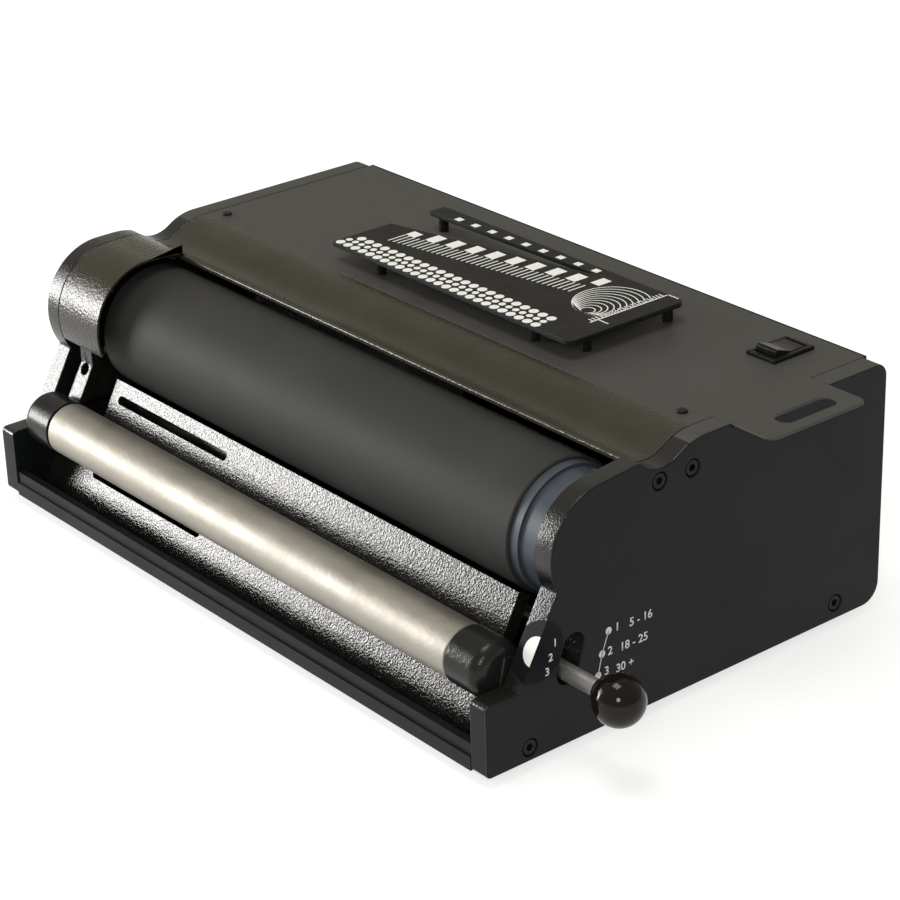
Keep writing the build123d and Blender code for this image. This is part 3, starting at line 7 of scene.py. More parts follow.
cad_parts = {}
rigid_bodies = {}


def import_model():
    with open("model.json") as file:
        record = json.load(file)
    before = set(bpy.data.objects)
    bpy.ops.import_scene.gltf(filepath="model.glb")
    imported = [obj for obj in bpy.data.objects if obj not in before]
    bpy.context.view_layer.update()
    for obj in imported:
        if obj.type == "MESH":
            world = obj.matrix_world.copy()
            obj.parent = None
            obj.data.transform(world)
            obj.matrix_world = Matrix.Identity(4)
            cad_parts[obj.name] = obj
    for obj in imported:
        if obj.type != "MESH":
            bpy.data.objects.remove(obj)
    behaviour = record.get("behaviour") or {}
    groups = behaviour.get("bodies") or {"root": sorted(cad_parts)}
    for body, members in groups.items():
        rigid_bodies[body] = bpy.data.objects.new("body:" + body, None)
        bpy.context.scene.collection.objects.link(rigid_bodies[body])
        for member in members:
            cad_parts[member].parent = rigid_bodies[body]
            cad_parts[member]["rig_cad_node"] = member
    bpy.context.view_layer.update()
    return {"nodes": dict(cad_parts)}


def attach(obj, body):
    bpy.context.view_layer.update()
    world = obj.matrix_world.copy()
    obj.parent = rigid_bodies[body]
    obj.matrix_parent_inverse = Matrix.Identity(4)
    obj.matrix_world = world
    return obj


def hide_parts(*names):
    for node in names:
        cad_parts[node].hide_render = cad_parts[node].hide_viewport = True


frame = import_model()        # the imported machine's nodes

nodes = frame["nodes"]

# The camera stands where the photographer stood: in front, to the right and above, and tipped by
# under two degrees. Its lens is long, so the machine narrows only a little towards the back.
CAMERA_AT = Vector((1.12035, -0.8961, 0.7449))
CAMERA_AZIMUTH = math.radians(51.2588)
CAMERA_ELEVATION = math.radians(25.0808)
CAMERA_ROLL = math.radians(-1.7619)
CAMERA_SENSOR = 36.0
CAMERA_LENS = 111.236
CAMERA_REACH = 50.0

sight = Vector((
    -math.sin(CAMERA_AZIMUTH) * math.cos(CAMERA_ELEVATION),
    math.cos(CAMERA_AZIMUTH) * math.cos(CAMERA_ELEVATION),
    -math.sin(CAMERA_ELEVATION),
))
level_right = sight.cross(Vector((0, 0, 1))).normalized()
level_up = level_right.cross(sight)
right = math.cos(CAMERA_ROLL) * level_right + math.sin(CAMERA_ROLL) * level_up
up = math.cos(CAMERA_ROLL) * level_up - math.sin(CAMERA_ROLL) * level_right
turn = Matrix((right, up, -sight)).transposed().to_4x4()
bpy.ops.object.camera_add()
camera = bpy.context.object
camera.matrix_world = Matrix.Translation(CAMERA_AT) @ turn
camera.data.sensor_width = CAMERA_SENSOR
camera.data.lens = CAMERA_LENS
camera.data.clip_end = CAMERA_REACH
bpy.context.scene.camera = camera
bpy.context.scene.view_settings.view_transform = "Standard"

# The machine stands on a pale table top that ends in a white backdrop. The table is grey enough
# not to light the machine from below, and is lifted to white only where it is seen or mirrored.
FLOOR_SIZE = 40.0
FLOOR_GREY = (0.48, 0.48, 0.48)
FLOOR_LIFT = 0.68


def finish(name, colour, roughness, metallic=0.0, specular=0.5):
    """A new material with the values that are even all over the surface."""
    made = bpy.data.materials.new(name)
    made.use_nodes = True
    shader = made.node_tree.nodes["Principled BSDF"]
    shader.inputs["Base Color"].default_value = (*colour, 1.0)
    shader.inputs["Roughness"].default_value = roughness
    shader.inputs["Metallic"].default_value = metallic
    shader.inputs["Specular IOR Level"].default_value = specular
    return made


def wire(material, source, output, target, socket):
    """Joins two nodes of a material, which are named by their labels."""
    tree = material.node_tree
    tree.links.new(tree.nodes[source].outputs[output], tree.nodes[target].inputs[socket])


def node(material, kind, name, **settings):
    """A new node in a material, with its settings and the values of its sockets."""
    made = material.node_tree.nodes.new(kind)
    made.name = name
    for key, value in settings.items():
        if hasattr(made, key):
            setattr(made, key, value)
        else:
            made.inputs[key.replace("_", " ")].default_value = value
    return made


bpy.ops.object.select_all(action="DESELECT")
bpy.ops.mesh.primitive_plane_add(size=FLOOR_SIZE)
table_top = bpy.context.object
table_top.name = "table_top"
table_white = finish("table_white", FLOOR_GREY, 0.7, specular=0.2)
node(table_white, "ShaderNodeLightPath", "rays")
node(table_white, "ShaderNodeMath", "camera_or_glossy", operation="MAXIMUM")
node(table_white, "ShaderNodeMath", "seen", operation="MAXIMUM")
node(table_white, "ShaderNodeMath", "lift", operation="MULTIPLY")
table_white.node_tree.nodes["lift"].inputs[1].default_value = FLOOR_LIFT
wire(table_white, "rays", "Is Camera Ray", "camera_or_glossy", 0)
wire(table_white, "rays", "Is Glossy Ray", "camera_or_glossy", 1)
wire(table_white, "camera_or_glossy", "Value", "seen", 0)
wire(table_white, "rays", "Is Transmission Ray", "seen", 1)
wire(table_white, "seen", "Value", "lift", 0)
wire(table_white, "lift", "Value", "Principled BSDF", "Emission Strength")
table_white.node_tree.nodes["Principled BSDF"].inputs["Emission Color"].default_value = (1, 1, 1, 1)
table_top.data.materials.append(table_white)

# The room is a warm dim grey that fills the shadows. The camera sees it white, and what mirrors
# it sees a white band at the horizon, as behind the table.
ROOM_GREY = (0.45, 0.427, 0.365, 1)
BAND_TOP = 0.12

world = bpy.data.worlds.new("studio")
bpy.context.scene.world = world
world.use_nodes = True
node(world, "ShaderNodeTexCoord", "direction")
node(world, "ShaderNodeSeparateXYZ", "parts")
node(
    world, "ShaderNodeMapRange", "horizon",
    From_Min=0.0, From_Max=BAND_TOP, To_Min=1.0, To_Max=0.0,
)
node(world, "ShaderNodeLightPath", "rays")
node(world, "ShaderNodeMath", "glossy_or_through", operation="MAXIMUM")
node(world, "ShaderNodeMath", "mirrored", operation="MULTIPLY")
node(world, "ShaderNodeMath", "white", operation="MAXIMUM")
node(world, "ShaderNodeMixRGB", "sky", Color1=ROOM_GREY, Color2=(1, 1, 1, 1))
wire(world, "direction", "Generated", "parts", "Vector")
wire(world, "parts", "Z", "horizon", "Value")
wire(world, "rays", "Is Glossy Ray", "glossy_or_through", 0)
wire(world, "rays", "Is Transmission Ray", "glossy_or_through", 1)
wire(world, "glossy_or_through", "Value", "mirrored", 0)
wire(world, "horizon", "Result", "mirrored", 1)
wire(world, "mirrored", "Value", "white", 0)
wire(world, "rays", "Is Camera Ray", "white", 1)
wire(world, "white", "Value", "sky", "Fac")
wire(world, "sky", "Color", "Background", "Color")

# Four flat lamps: a bright one low at the front left and a dimmer one above it, which the slanted
# plate edges and the book rest mirror, one overhead, and a weak one at the camera's side.
DAYLIGHT = (1, 0.99, 0.975)
PLAIN_LIGHT = (1, 1, 1)
ROLL_FRONT = (0, -0.05, 0.10)
MACHINE_FOOT = (0, 0, 0.05)


def soft_lamp(name, stands, aims, size, watts, tint):
    """A flat lamp of a width and a height, aimed at a point on the machine."""
    bpy.ops.object.light_add(type="AREA", location=stands)
    lamp = bpy.context.object
    lamp.name = name
    lamp.data.shape = "RECTANGLE"
    lamp.data.size, lamp.data.size_y = size
    lamp.data.energy = watts
    lamp.data.color = tint
    lamp.rotation_euler = (Vector(aims) - Vector(stands)).to_track_quat("-Z", "Y").to_euler()


soft_lamp("window_low", (-1.911, -1.402, 0.385), ROLL_FRONT, (0.85, 0.66), 38.0, DAYLIGHT)
soft_lamp("window_high", (-1.806, -1.338, 0.952), ROLL_FRONT, (0.85, 0.50), 8.0, DAYLIGHT)
soft_lamp("overhead", (0.0, -0.25, 2.0), MACHINE_FOOT, (0.9, 0.7), 13.0, PLAIN_LIGHT)
soft_lamp("camera_side", (1.5, -1.4, 1.2), MACHINE_FOOT, (0.5, 0.5), 12.0, PLAIN_LIGHT)

# The side plates are 12.7 mm steel, cut to one outline and deburred. The flat faces are ground and
# sprayed satin black, and the cut edges carry the thick hammered paint of the sheet parts. The
# level edges behind the crest that face up take the cover's lighter, warmer colour, a painted
# lighter top.
ORIGIN_X, ORIGIN_Y, ORIGIN_Z = 26.05, 142.5, -6.0
PLATE_ROUND = 0.0008
SCREW_SPOTS = ((117.8, 127.6), (140.8, 127.6), (250.3, 10.0), (28.8, 7.7))
COUNTERBORE_REACH = 0.0068
TOE_TOP = 41.5
CREST_Y = 118.0
CREST_Z = 142.0
CUT_EDGE, FLAT_FACE, PAINTED_LIGHT_TOP = 0, 1, 2
SQUARE_ON = 0.95
NEARLY_SQUARE = 0.9
FACING_UP = 0.5
PUSH_OF_CELLS = 0.0022
PAINT_PATCHES = 25.0
GLOSSIER = 0.85
DULLER = 1.2
SAME_POINT = 0.000002
SAME_PLANE = math.radians(0.6)
ROUNDED_FROM = math.radians(30)
SMOOTH_BELOW = math.radians(50)


def at(x, y, z):
    """A point in the shared frame, in metres, from the machine's own millimetres: from its middle
    to the right, from the front of the side plates to the back, and up from their bottom edge."""
    return Vector(((x - ORIGIN_X) / 1000, (y - ORIGIN_Y) / 1000, (z - ORIGIN_Z) / 1000))


def node_group(name, inputs, outputs):
    """An empty node group with its sockets; the group, its entry and its exit."""
    group = bpy.data.node_groups.new(name, "ShaderNodeTree")
    for label, value in inputs:
        kind = "NodeSocketColor" if isinstance(value, tuple) else "NodeSocketFloat"
        socket = group.interface.new_socket(name=label, in_out="INPUT", socket_type=kind)
        socket.default_value = value
    for label, kind in outputs:
        group.interface.new_socket(name=label, in_out="OUTPUT", socket_type="NodeSocket" + kind)
    return group, group.nodes.new("NodeGroupInput"), group.nodes.new("NodeGroupOutput")


def inside(group, kind, links, **settings):
    """A node in a group, fed by (output, socket) pairs."""
    made = group.nodes.new(kind)
    for key, value in settings.items():
        if hasattr(made, key):
            setattr(made, key, value)
        else:
            made.inputs[key.replace("_", " ")].default_value = value
    for output, socket in links:
        group.links.new(output, made.inputs[socket])
    return made


# Hammered paint: rounded cells that run into each other, with a finer orange peel on them
hammered, entry, leave = node_group(
    "hammered_paint",
    [("Cells", 520.0), ("Peel", 1500.0), ("Peel Share", 0.3)],
    [("Height", "Float")],
)
place = inside(hammered, "ShaderNodeTexCoord", [])
swirl = inside(
    hammered, "ShaderNodeTexNoise",
    [(place.outputs["Object"], "Vector"), (entry.outputs["Cells"], "Scale")],
)
push = inside(
    hammered, "ShaderNodeVectorMath", [(swirl.outputs["Color"], 0)],
    operation="SCALE", Scale=PUSH_OF_CELLS,
)
moved = inside(
    hammered, "ShaderNodeVectorMath",
    [(place.outputs["Object"], 0), (push.outputs["Vector"], 1)],
    operation="ADD",
)
cells = inside(
    hammered, "ShaderNodeTexVoronoi",
    [(moved.outputs["Vector"], "Vector"), (entry.outputs["Cells"], "Scale")],
    feature="SMOOTH_F1", Smoothness=0.6,
)
peel = inside(
    hammered, "ShaderNodeTexNoise",
    [(place.outputs["Object"], "Vector"), (entry.outputs["Peel"], "Scale")],
    Detail=1.0,
)
both = inside(
    hammered, "ShaderNodeMix",
    [
        (entry.outputs["Peel Share"], "Factor"), (cells.outputs["Distance"], 2),
        (peel.outputs["Fac"], 3),
    ],
)
hammered.links.new(both.outputs[0], leave.inputs["Height"])

# Mottle: the faint uneven patches of any handled surface
mottle, entry, leave = node_group(
    "mottle",
    [
        ("Scale", 30.0), ("Dark", (0.02, 0.02, 0.02, 1)), ("Light", (0.04, 0.04, 0.04, 1)),
        ("Smooth", 0.3), ("Rough", 0.5),
    ],
    [("Color", "Color"), ("Roughness", "Float"), ("Mask", "Float")],
)
place = inside(mottle, "ShaderNodeTexCoord", [])
broad = inside(
    mottle, "ShaderNodeTexNoise",
    [(place.outputs["Object"], "Vector"), (entry.outputs["Scale"], "Scale")],
    Detail=5.0, Roughness=0.62,
)
spread = inside(
    mottle, "ShaderNodeMapRange", [(broad.outputs["Fac"], "Value")], From_Min=0.32, From_Max=0.68,
)
patches = spread.outputs["Result"]
tone = inside(
    mottle, "ShaderNodeMixRGB",
    [(patches, "Fac"), (entry.outputs["Dark"], "Color1"), (entry.outputs["Light"], "Color2")],
)
sheen = inside(
    mottle, "ShaderNodeMix",
    [(patches, "Factor"), (entry.outputs["Smooth"], 2), (entry.outputs["Rough"], 3)],
)
mottle.links.new(tone.outputs["Color"], leave.inputs["Color"])
mottle.links.new(sheen.outputs[0], leave.inputs["Roughness"])
mottle.links.new(patches, leave.inputs["Mask"])


def mottled(material, scale, dark, light, smooth, rough):
    """Colour and roughness of a material from the mottle group."""
    made = node(material, "ShaderNodeGroup", "mottle", node_tree=mottle)
    made.inputs["Scale"].default_value = scale
    made.inputs["Dark"].default_value = (*dark, 1)
    made.inputs["Light"].default_value = (*light, 1)
    made.inputs["Smooth"].default_value = smooth
    made.inputs["Rough"].default_value = rough
    wire(material, "mottle", "Color", "Principled BSDF", "Base Color")
    wire(material, "mottle", "Roughness", "Principled BSDF", "Roughness")


def bumped(material, source, output, distance, strength=1.0):
    """Relief of a material, from one height, so many metres deep."""
    node(material, "ShaderNodeBump", "relief", Distance=distance, Strength=strength)
    wire(material, source, output, "relief", "Height")
    wire(material, "relief", "Normal", "Principled BSDF", "Normal")


def hammered_finish(name, dark, light, roughness, cells, peel, share, depth, specular=0.5):
    """Paint with the hammered relief: its two tones, gloss, cells, orange peel and depth."""
    made = finish(name, dark, roughness, specular=specular)
    mottled(made, PAINT_PATCHES, dark, light, roughness * GLOSSIER, roughness * DULLER)
    skin = node(made, "ShaderNodeGroup", "skin", node_tree=hammered)
    skin.inputs["Cells"].default_value = cells
    skin.inputs["Peel"].default_value = peel
    skin.inputs["Peel Share"].default_value = share
    bumped(made, "skin", "Height", depth)
    return made


def wear(obj, *materials):
    """Puts a material in every slot of a node, or the first ones of a new piece."""
    if obj.get("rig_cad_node"):
        for held in obj.material_slots:
            held.material = materials[0]
        return
    obj.data.materials.clear()
    for material in materials:
        obj.data.materials.append(material)


def fasten(piece, body, slot, *stands_for):
    """The piece moves with a body and stands for its solids; the slot is not used."""
    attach(piece, body)
    if stands_for:
        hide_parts(*stands_for)


def softened(name, width):
    """A rigid piece again, with the small round that deburring and paint leave on its edges."""
    bpy.ops.object.select_all(action="DESELECT")
    piece = bpy.data.objects.new(name + "_finished", nodes[name].data.copy())
    bpy.context.scene.collection.objects.link(piece)
    bpy.context.view_layer.objects.active = piece
    piece.select_set(True)
    piece.data.materials.clear()
    bpy.ops.object.mode_set(mode="EDIT")
    bpy.ops.mesh.select_all(action="SELECT")
    bpy.ops.mesh.remove_doubles(threshold=SAME_POINT)
    bpy.ops.mesh.dissolve_limited(angle_limit=SAME_PLANE)
    bpy.ops.object.mode_set(mode="OBJECT")
    rounding = piece.modifiers.new("rounding", "BEVEL")
    rounding.limit_method = "ANGLE"
    rounding.angle_limit = ROUNDED_FROM
    rounding.width = width
    rounding.segments = 2
    rounding.use_clamp_overlap = False
    bpy.ops.object.modifier_apply(modifier="rounding")
    bpy.ops.object.shade_smooth_by_angle(angle=SMOOTH_BELOW)
    weighting = piece.modifiers.new("weighting", "WEIGHTED_NORMAL")
    weighting.keep_sharp = True
    bpy.ops.object.modifier_apply(modifier="weighting")
    return piece


edge_paint = hammered_finish(
    "edge_paint", dark=(0.008, 0.008, 0.0075), light=(0.013, 0.0125, 0.011), roughness=0.12,
    cells=850.0, peel=2300.0, share=0.3, depth=0.00018, specular=0.44,
)
# The faces' black is the paint's own; its faint blue cast is painted cool light on side-facing
# faces.
face_paint = hammered_finish(
    "face_paint", dark=(0.0057, 0.0066, 0.008), light=(0.008, 0.0093, 0.011), roughness=0.42,
    cells=2600.0, peel=4200.0, share=0.5, depth=0.00003, specular=0.14,
)
cover_paint = hammered_finish(
    "cover_paint", dark=(0.051, 0.049, 0.0465), light=(0.062, 0.060, 0.0565), roughness=0.52,
    cells=1300.0, peel=3000.0, share=0.4, depth=0.00008, specular=0.30,
)
screw_holes = [at(0, y, z) for y, z in SCREW_SPOTS]
for side in ("left", "right"):
    plate = softened(side + "_side_plate", PLATE_ROUND)
    wear(plate, edge_paint, face_paint, cover_paint)
    for face in plate.data.polygons:
        middle, facing = face.center, face.normal
        toe_front = facing.y < -SQUARE_ON and middle.z < at(0, 0, TOE_TOP).z
        bored = any((middle - hole).yz.length < COUNTERBORE_REACH for hole in screw_holes)
        behind_crest = middle.y > at(0, CREST_Y, 0).y and middle.z > at(0, 0, CREST_Z).z
        if abs(facing.x) > NEARLY_SQUARE or toe_front or bored:
            face.material_index = FLAT_FACE
        # Faces that look up behind the crest take the cover's lighter, warmer colour: a painted
        # lighter top.
        elif facing.z > FACING_UP and behind_crest:
            face.material_index = PAINTED_LIGHT_TOP
        else:
            face.material_index = CUT_EDGE
    fasten(plate, "chassis", "black_satin", side + "_side_plate")

# The shroud is one folded 1.6 mm sheet, the S-shaped shoulder behind the roller and the hump over
# its left end, under the same thick paint, glossy where hands and books rub it. Its black is lifted
# to a warm brown, a painted warm reflection on its upward faces.
SHROUD_ROUND = 0.0003

shroud_paint = hammered_finish(
    "shroud_paint", dark=(0.027, 0.0245, 0.017), light=(0.036, 0.0325, 0.023), roughness=0.08,
    cells=640.0, peel=2000.0, share=0.30, depth=0.00025, specular=0.37,
)
shroud = softened("roller_shroud", SHROUD_ROUND)
wear(shroud, shroud_paint)
fasten(shroud, "chassis", "black_texture", "roller_shroud")

# The inner bearing plate is 12.7 mm steel on three spacers beside the left plate. Its slanted edge
# shows under the hump, in the side plates' hammered paint.
BEARING_PLATE_ROUND = 0.0006

bearing_plate = softened("inner_bearing_plate", BEARING_PLATE_ROUND)
wear(bearing_plate, edge_paint)
fasten(bearing_plate, "chassis", "black_texture", "inner_bearing_plate")

# The book rest is 1.5 mm sheet with two long slots, bent at the foot and screwed between the side
# plates, under the deepest coat of hammered black.
REST_ROUND = 0.0003

rest_paint = hammered_finish(
    "rest_paint", dark=(0.010, 0.010, 0.009), light=(0.018, 0.018, 0.016), roughness=0.12,
    cells=760.0, peel=1900.0, share=0.25, depth=0.00021, specular=0.46,
)
rest = softened("rest_plate", REST_ROUND)
wear(rest, rest_paint)
fasten(rest, "chassis", "hammertone", "rest_plate")

# The cover is 1.6 mm sheet, folded down at the back and screwed to posts, with the slotted tab out
# over the right plate. Its powder coat is fine, dull and warm.
COVER_ROUND = 0.0006

cover = softened("top_cover", COVER_ROUND)
wear(cover, cover_paint)
fasten(cover, "chassis", "black_texture", "top_cover")

# The stepped front rail, the floor pan and the rear panel are sheet and bar steel, sprayed satin
# black after folding, as the plates' faces are.
for name in ("front_rail", "base_pan", "rear_panel"):
    wear(nodes[name], face_paint)

# The drive roller wears a sleeve of black rubber, ground round, that drags the coil along. A hub of
# blue-grey moulded plastic closes each end.
rubber_black = finish("rubber_black", (0.034, 0.034, 0.033), 0.6, specular=0.15)
mottled(
    rubber_black, scale=14.0, dark=(0.031, 0.031, 0.0305), light=(0.038, 0.038, 0.0365),
    smooth=0.56, rough=0.64,
)
wear(nodes["roller_sleeve"], rubber_black)

hub_blue = finish("hub_blue", (0.045, 0.055, 0.072), 0.5, specular=0.35)
mottled(
    hub_blue, scale=60.0, dark=(0.040, 0.050, 0.066), light=(0.056, 0.067, 0.085),
    smooth=0.38, rough=0.5,
)
for name in ("roller_hub_right", "roller_hub_left"):
    wear(nodes[name], hub_blue)

# The idler roll is a ground tube with satin nickel plating, a little wavy and uneven from use. It
# turns freely on its axle between the cradle's arms.
ROLL_WAVE = 0.0004

nickel = finish("satin_nickel", (0.34, 0.322, 0.285), 0.56, metallic=1.0)
mottled(
    nickel, scale=22.0, dark=(0.325, 0.306, 0.27), light=(0.36, 0.341, 0.302),
    smooth=0.48, rough=0.62,
)
bumped(nickel, "mottle", "Mask", ROLL_WAVE)
wear(nodes["idler_roll"], nickel)

# The swing cradle's two arms are castings, dipped in black and polished by hands at the bosses that
# hold the roll. The right one carries the lever.
ARM_ROUND = 0.0005

cast_black = hammered_finish(
    "cast_black", dark=(0.010, 0.010, 0.010), light=(0.015, 0.015, 0.015), roughness=0.22,
    cells=420.0, peel=1300.0, share=0.5, depth=0.00013, specular=0.24,
)
for side in ("left", "right"):
    arm = softened("cradle_arm_" + side, ARM_ROUND)
    wear(arm, cast_black)
    fasten(arm, "cradle", "cast_alloy", "cradle_arm_" + side)

# The lever is a turned steel rod with a ball knob of polished black plastic screwed on its end. The
# shafts, the roll's axle and the bearings are turned steel too.
TURNED_PATCHES = 50.0
RING_WANDER = 0.6
RING_STRENGTH = 0.6

knob_black = finish("knob_black", (0.009, 0.007, 0.006), 0.06, specular=0.25)
mottled(
    knob_black, scale=40.0, dark=(0.006, 0.0045, 0.004), light=(0.010, 0.0075, 0.006),
    smooth=0.04, rough=0.12,
)
wear(nodes["lever_knob"], knob_black)


def turned_finish(name, dark, light, smooth, rough, pitch, depth):
    """Bright metal with the fine rings that a lathe leaves, seen along the machine's width."""
    made = finish(name, dark, smooth, metallic=1.0)
    mottled(made, TURNED_PATCHES, dark, light, smooth, rough)
    node(made, "ShaderNodeTexCoord", "where")
    rings = node(made, "ShaderNodeTexWave", "rings", Scale=pitch, Distortion=RING_WANDER)
    rings.inputs["Detail"].default_value = 1.0
    wire(made, "where", "Object", "rings", "Vector")
    bumped(made, "rings", "Fac", depth, RING_STRENGTH)
    return made


turned = turned_finish(
    "turned_steel", dark=(0.60, 0.59, 0.57), light=(0.72, 0.71, 0.69), smooth=0.36, rough=0.50,
    pitch=900.0, depth=0.00002,
)
for name in (
    "lever_rod", "roll_axle", "pivot_shaft", "roller_shaft", "motor_shaft", "roller_bearings",
):
    wear(nodes[name], turned)

# The cross bars, brackets and spacers are cold drawn steel, screwed between the plates and left
# bare and a little oily.
drawn = finish("drawn_steel", (0.38, 0.375, 0.36), 0.4, metallic=1.0)
mottled(
    drawn, scale=35.0, dark=(0.32, 0.315, 0.30), light=(0.46, 0.455, 0.44), smooth=0.32, rough=0.5,
)
for name in (
    "front_tie_rod", "rear_tie_bar", "upper_tie_bar", "cradle_tie_rod", "shroud_brackets",
    "bearing_plate_spacers",
):
    wear(nodes[name], drawn)

# The screws, posts, collars and small brackets that the covers hide are zinc plated steel, bright
# with a bluish cast.
zinc = finish("zinc_plate", (0.55, 0.57, 0.59), 0.3, metallic=1.0)
mottled(
    zinc, scale=120.0, dark=(0.48, 0.50, 0.52), light=(0.62, 0.64, 0.65), smooth=0.24, rough=0.42,
)
for name in (
    "bearing_plate_screws", "cover_posts", "foot_screws", "gauge_screws", "motor_bracket",
    "motor_screws", "pivot_collars", "detent_plunger", "inlet_screws", "board_standoffs",
    "capacitor_clip",
):
    wear(nodes[name], zinc)

# The screws that show in the plates, the cover and the back are black oxide steel, and so are the
# posts that the gauge stands on.
black_oxide = finish("black_oxide", (0.012, 0.012, 0.012), 0.35, metallic=0.3, specular=0.15)
mottled(
    black_oxide, scale=200.0, dark=(0.008, 0.008, 0.008), light=(0.016, 0.015, 0.014),
    smooth=0.28, rough=0.45,
)
for name in ("side_plate_screws", "cover_screws", "rear_screws", "gauge_standoffs"):
    wear(nodes[name], black_oxide)

# The gauge plate is 3 mm engraving laminate on posts above the cover: a matte black face with a
# sawn edge, and a tapered slot that measures coils.
GAUGE_ROUND = 0.0004

gauge_black = finish("gauge_black", (0.008, 0.008, 0.008), 0.5, specular=0.2)
mottled(
    gauge_black, scale=90.0, dark=(0.006, 0.006, 0.006), light=(0.010, 0.010, 0.010),
    smooth=0.42, rough=0.58,
)
gauge = softened("gauge_plate", GAUGE_ROUND)
wear(gauge, gauge_black)
fasten(gauge, "chassis", "gauge_plastic", "gauge_plate")

# The power rocker and its frame snap into the cover. They, the inlet and the jack at the back are
# moulded nylon.
ROCKER_ROUND = 0.0004

switch_black = finish("switch_black", (0.006, 0.006, 0.006), 0.25, specular=0.15)
mottled(
    switch_black, scale=150.0, dark=(0.005, 0.005, 0.005), light=(0.009, 0.009, 0.009),
    smooth=0.2, rough=0.34,
)
rocker = softened("power_rocker", ROCKER_ROUND)
wear(rocker, switch_black)
fasten(rocker, "rocker", "switch_plastic", "power_rocker")
for name in ("switch_frame", "power_inlet", "pedal_jack"):
    wear(nodes[name], switch_black)

# The feet, screwed under the pan, and the drive belt are soft black rubber with a dusty, dull
# skin.
soft_black = finish("soft_black", (0.02, 0.02, 0.02), 0.8, specular=0.3)
mottled(
    soft_black, scale=160.0, dark=(0.016, 0.016, 0.016), light=(0.028, 0.027, 0.026),
    smooth=0.7, rough=0.88,
)
for name in ("rubber_feet", "drive_belt"):
    wear(nodes[name], soft_black)

# The belt's pulleys and the roller's core tube are plain turned aluminium, pressed and screwed on
# their shafts.
aluminium = turned_finish(
    "aluminium", dark=(0.62, 0.63, 0.64), light=(0.72, 0.73, 0.74), smooth=0.28, rough=0.40,
    pitch=700.0, depth=0.00003,
)
for name in ("roller_core", "roller_pulley", "motor_pulley"):
    wear(nodes[name], aluminium)

# The motor and its gearbox stand on a bracket on the floor pan. Both housings are sprayed with
# grey enamel.
motor_grey = hammered_finish(
    "motor_grey", dark=(0.10, 0.11, 0.12), light=(0.14, 0.15, 0.16), roughness=0.42,
    cells=1400.0, peel=3000.0, share=0.4, depth=0.00006,
)
for name in ("motor", "gearbox"):
    wear(nodes[name], motor_grey)

# The control board on the floor pan is green lacquered laminate. What is soldered on it, and the
# motor's capacitor, are moulded in dark plastic.
board_green = finish("board_green", (0.02, 0.13, 0.05), 0.35)
mottled(
    board_green, scale=260.0, dark=(0.012, 0.10, 0.035), light=(0.03, 0.16, 0.06),
    smooth=0.25, rough=0.45,
)
wear(nodes["control_board"], board_green)
moulded = finish("moulded_dark", (0.05, 0.055, 0.07), 0.4)
mottled(
    moulded, scale=180.0, dark=(0.04, 0.045, 0.06), light=(0.065, 0.07, 0.085),
    smooth=0.32, rough=0.5,
)
for name in ("board_parts", "motor_capacitor"):
    wear(nodes[name], moulded)

# The idler roll turns on two bushings of natural, uncoloured plastic, pressed into the ends of
# its tube.
natural = finish("natural_plastic", (0.66, 0.64, 0.56), 0.45)
mottled(
    natural, scale=140.0, dark=(0.60, 0.58, 0.50), light=(0.70, 0.68, 0.60),
    smooth=0.38, rough=0.55,
)
wear(nodes["roll_bushings"], natural)

# The size scale on the right plate is screen printed in white: three dots on a line, one for each
# place of the lever, their numbers, and the coil sizes that each is for.
WHITE_INK = (0.84, 0.85, 0.83)
SCALE_X = 228.6
SCALE_DOT = 2.1
SCALE_DOTS = ((82.4, 55.0), (77.8, 43.2), (75.0, 31.6))
SCALE_LINE = 0.5
SCALE_TEXT = 4.9
SCALE_NUMBERS = (("1", 86.7, 52.9), ("2", 81.7, 40.9), ("3", 79.3, 30.1))
SCALE_SIZES = (("5 - 16", 96.7, 52.1), ("18 - 25", 90.2, 40.1), ("30 +", 87.3, 28.6))
NUMBER_SHARE = 0.72             # of the font's size, what a digit's height is
NUMBER_WEIGHT = 0.00010
INK_T = 0.00006
MILLIMETRE = 0.001

white_ink = finish("white_ink", WHITE_INK, 0.5)
mottled(
    white_ink, scale=400.0, dark=(0.80, 0.81, 0.79), light=(0.88, 0.89, 0.87),
    smooth=0.42, rough=0.6,
)


def flat_disc(radius, vertices=28):
    """A round face in the plane of the table, selected in edit mode."""
    bpy.ops.object.select_all(action="DESELECT")
    bpy.ops.mesh.primitive_circle_add(vertices=vertices, radius=radius / 1000, fill_type="NGON")
    return bpy.context.object


def stand_up(piece, spot):
    """Turns a flat print to face right, as on the right plate, and puts it at its spot."""
    piece.rotation_euler = (math.pi / 2, 0, math.pi / 2)
    piece.location = spot


def settle(piece, name, thickness=INK_T):
    """Gives a flat print its thickness and puts its place in its mesh."""
    bpy.ops.object.select_all(action="DESELECT")
    bpy.context.view_layer.objects.active = piece
    piece.select_set(True)
    if piece.type == "FONT":
        bpy.ops.object.convert(target="MESH")
        piece = bpy.context.object
    bpy.ops.object.transform_apply(location=True, rotation=True, scale=True)
    layer = piece.modifiers.new("layer", "SOLIDIFY")
    layer.thickness = thickness
    layer.offset = 1.0
    bpy.ops.object.modifier_apply(modifier="layer")
    piece.name = name
    return piece


def written(text, height, spot):
    """A number on the right plate, with its lower left corner at a spot."""
    bpy.ops.object.select_all(action="DESELECT")
    bpy.ops.object.text_add()
    line = bpy.context.object
    line.data.body = text
    line.data.size = height / 1000 / NUMBER_SHARE
    line.data.offset = NUMBER_WEIGHT
    stand_up(line, spot)
    return line


def printed(pieces, name, slot="gauge_plastic"):
    """Joins flat prints into one piece of ink."""
    bpy.ops.object.select_all(action="DESELECT")
    for piece in pieces:
        piece.select_set(True)
    bpy.context.view_layer.objects.active = pieces[0]
    bpy.ops.object.join()
    ink = bpy.context.object
    ink.name = name
    wear(ink, white_ink)
    fasten(ink, "chassis", slot)


